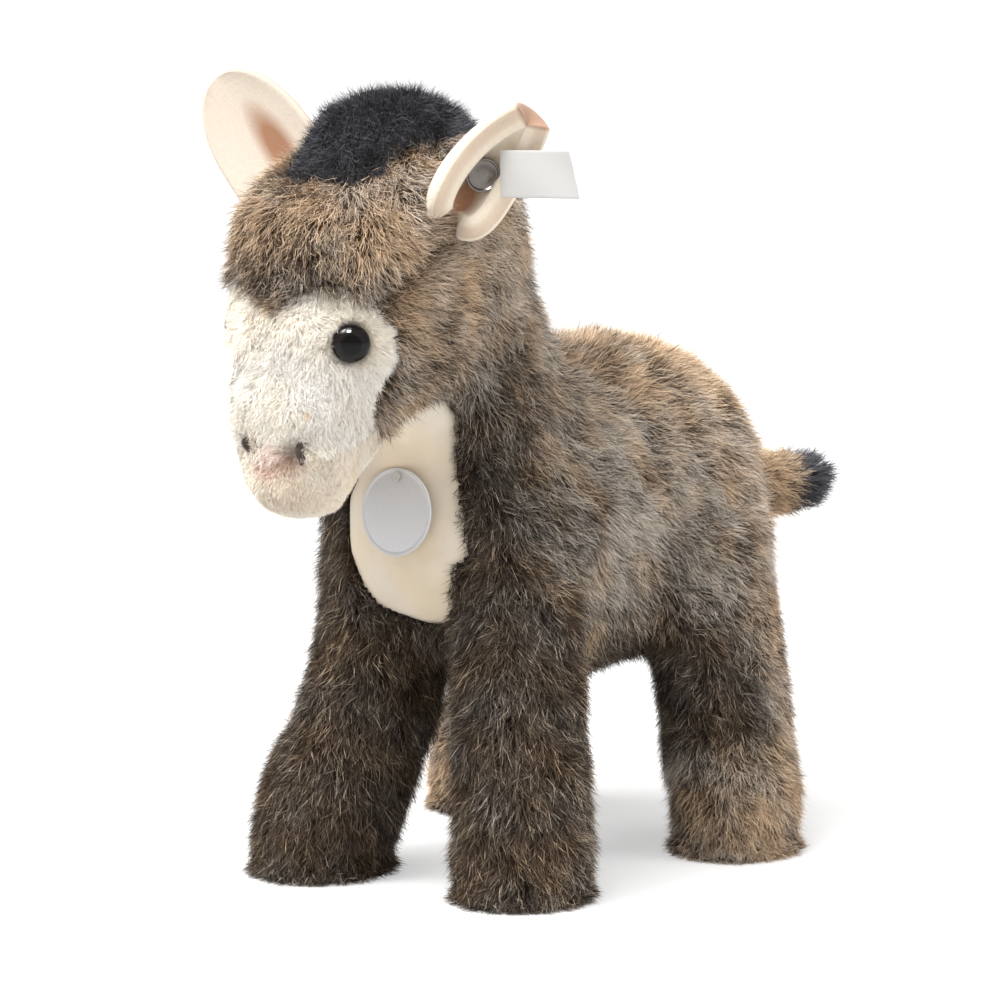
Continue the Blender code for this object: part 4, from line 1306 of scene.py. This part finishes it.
nickel, tree, shader, wear = grained(
    "nickel_satin", (0.15, 0.135, 0.125), 0.3, 500.0, 5.0,
    ((0.13, 0.115, 0.105), (0.25, 0.23, 0.21)), Metallic=1.0,
)  # fmt: skip
wear.node.inputs["Roughness"].default_value = 0.6
tree.links.new(remap(tree, wear, (0.0, 1.0), (0.2, 0.42)), shader.inputs["Roughness"])


def soften(obj, width, segments, angle, smooth):
    """Bevels the edges that are sharper than an angle, and smooths the shading below another one."""
    limit = {"limit_method": "ANGLE", "angle_limit": math.radians(angle)}
    add_modifier(obj, "BEVEL", width=width * MM, segments=segments, **limit)
    apply_modifiers(obj)
    bpy.ops.object.shade_smooth_by_angle(angle=math.radians(smooth))
    return obj


def pressed_disc(vertices, radius, thickness, steps):
    """A disc whose front face is pressed in steps. Each is an inset and a push, in millimetres."""
    choose_none()
    bpy.ops.mesh.primitive_cylinder_add(vertices=vertices, radius=radius * MM, depth=thickness * MM)
    disc = bpy.context.object
    edit_all()
    bpy.ops.mesh.select_mode(type="FACE")
    bpy.ops.mesh.select_all(action="DESELECT")
    leave_edit()
    for face in disc.data.polygons:
        face.select = face.normal.z > 0.9
    bpy.ops.object.mode_set(mode="EDIT")
    for inset, push in steps:
        bpy.ops.mesh.inset(thickness=inset * MM, depth=push * MM)
    leave_edit()
    return disc


stud = pressed_disc(64, STUD_RADIUS, STUD_THICK, ((0.55, 0.0), (0.25, -0.7), (1.5, 0.12), (0.5, 0.25)))
soften(stud, 0.16, 3, angle=35, smooth=50)
spot, look = ear_floor("ear_left", STUD_HEIGHT, STUD_LIFT)
stud.location = spot * MM
stud.rotation_euler = look.to_track_quat("Z", "Y").to_euler()
finish_piece(stud, "nickel_ear_stud", nickel, "ear_button")
print("stud", STUD_RADIUS * 2, "mm across")

# %% [markdown]
# ## Ear ribbon
#
# A short white ribbon runs from behind the stud and stands out to the side, with a slanted end. It is a
# fine grid with a slow wave in it, two woven layers thick, and its weave is a wave pattern on its own map.

# %% Weave the satin
ribbon, tree, shader = new_material("ribbon_white_satin", (0.82, 0.81, 0.79), 0.55, Sheen_Weight=0.2)
flat = add_node(tree, "UVMap", {}, uv_map="UVMap").outputs["UV"]
threads = []
for direction, scale in (("X", 26.0), ("Y", 14.0)):
    wave = add_node(tree, "TexWave", {"Vector": flat, "Scale": scale}, bands_direction=direction)
    threads.append(wave.outputs["Fac"])
weave = add_node(tree, "Math", {0: threads[0], 1: threads[1]}, operation="MULTIPLY").outputs["Value"]
colour = mix(tree, weave, (0.50, 0.49, 0.475, 1.0), (0.62, 0.61, 0.595, 1.0))
tree.links.new(colour, shader.inputs["Base Color"])
add_bump(tree, shader, weave, 0.25, 0.1 * MM)
print("woven", ribbon.name)

# %% Make the ribbon
FLAG_LENGTH = 21.0
FLAG_HEIGHT = 12.8
FLAG_THICK = 0.55
FLAG_SLANT = 3.2
FLAG_START = 6.0
FLAG_TURN = 8.0  # degrees
FLAG_WAVE = 0.8
FLAG_RIPPLE = 0.25

turn = math.radians(FLAG_TURN)
out = Vector((math.cos(turn), math.sin(turn), 0.0))
facing = Vector((math.sin(turn), -math.cos(turn), 0.0))
start = ear_floor("ear_left", STUD_HEIGHT, STUD_LIFT - STUD_THICK / 2 - FLAG_THICK)[0] + out * FLAG_START
choose_none()
bpy.ops.mesh.primitive_grid_add(x_subdivisions=40, y_subdivisions=16, size=2.0)
flag = bpy.context.object
for vert in flag.data.vertices:
    t = (vert.co.x + 1.0) / 2.0
    rise = vert.co.y / 2.0
    reach = t * (FLAG_LENGTH + FLAG_SLANT * (0.5 - rise))
    wave = FLAG_WAVE * math.sin(2.0 * math.pi * t) + FLAG_RIPPLE * math.sin(5.0 * t + 3.0 * rise)
    vert.co = (start + out * reach + facing * wave + Vector((0, 0, rise * FLAG_HEIGHT))) * MM
add_modifier(flag, "SOLIDIFY", thickness=FLAG_THICK * MM, offset=0.0)
soften(flag, 0.12, 2, angle=50, smooth=50)
finish_piece(flag, "woven_ear_ribbon", ribbon, "ear_flag")
print("ribbon", FLAG_LENGTH, "by", FLAG_HEIGHT, "mm")

# %% [markdown]
# ## Chest tag
#
# A round card hangs on the chest on a clear plastic pin. The card is a thin disc with a shallow border,
# pressed into its face like the stud's dish, and softly rounded edges. Its face stays blank. The pin is
# a copy of its solid part, with its edges rounded.

# %% Make the tag
TAG_DIAMETER = 25.0
TAG_THICK = 0.7
TAG_TILT = 6.0  # degrees that it leans back

card, *_ = grained(
    "card_coated", (0.74, 0.74, 0.75), 0.42, 1500.0, 4.0,
    ((0.64, 0.64, 0.655), (0.73, 0.73, 0.74)), relief=(0.06, 0.1),
)  # fmt: skip
tag_middle, _ = middle_of("chest_tag")
tag = pressed_disc(96, TAG_DIAMETER / 2, TAG_THICK, ((0.9, 0.0), (0.12, -0.08), (0.3, 0.0), (0.12, 0.08)))
soften(tag, 0.1, 2, angle=60, smooth=35)
tag.matrix_world = Matrix.Translation(tag_middle) @ Matrix.Rotation(math.radians(90 - TAG_TILT), 4, "X")
finish_piece(tag, "card_chest_tag", card, "chest_tag")
print("tag", TAG_DIAMETER, "mm across at", [round(v / MM, 1) for v in tag_middle])

# %% Make the tag's pin
clear_plastic, *_ = grained(
    "pin_translucent", (0.80, 0.78, 0.74), 0.25, 1200.0, 2.0,
    ((0.70, 0.68, 0.64), (0.88, 0.87, 0.84)), Transmission_Weight=0.4,
)  # fmt: skip
pin = soften(copy_of("tag_pin"), 0.12, 2, angle=40, smooth=45)
pin = finish_piece(pin, "clear_tag_pin", clear_plastic, "tag_pin")
print("pin with", len(pin.data.polygons), "faces")
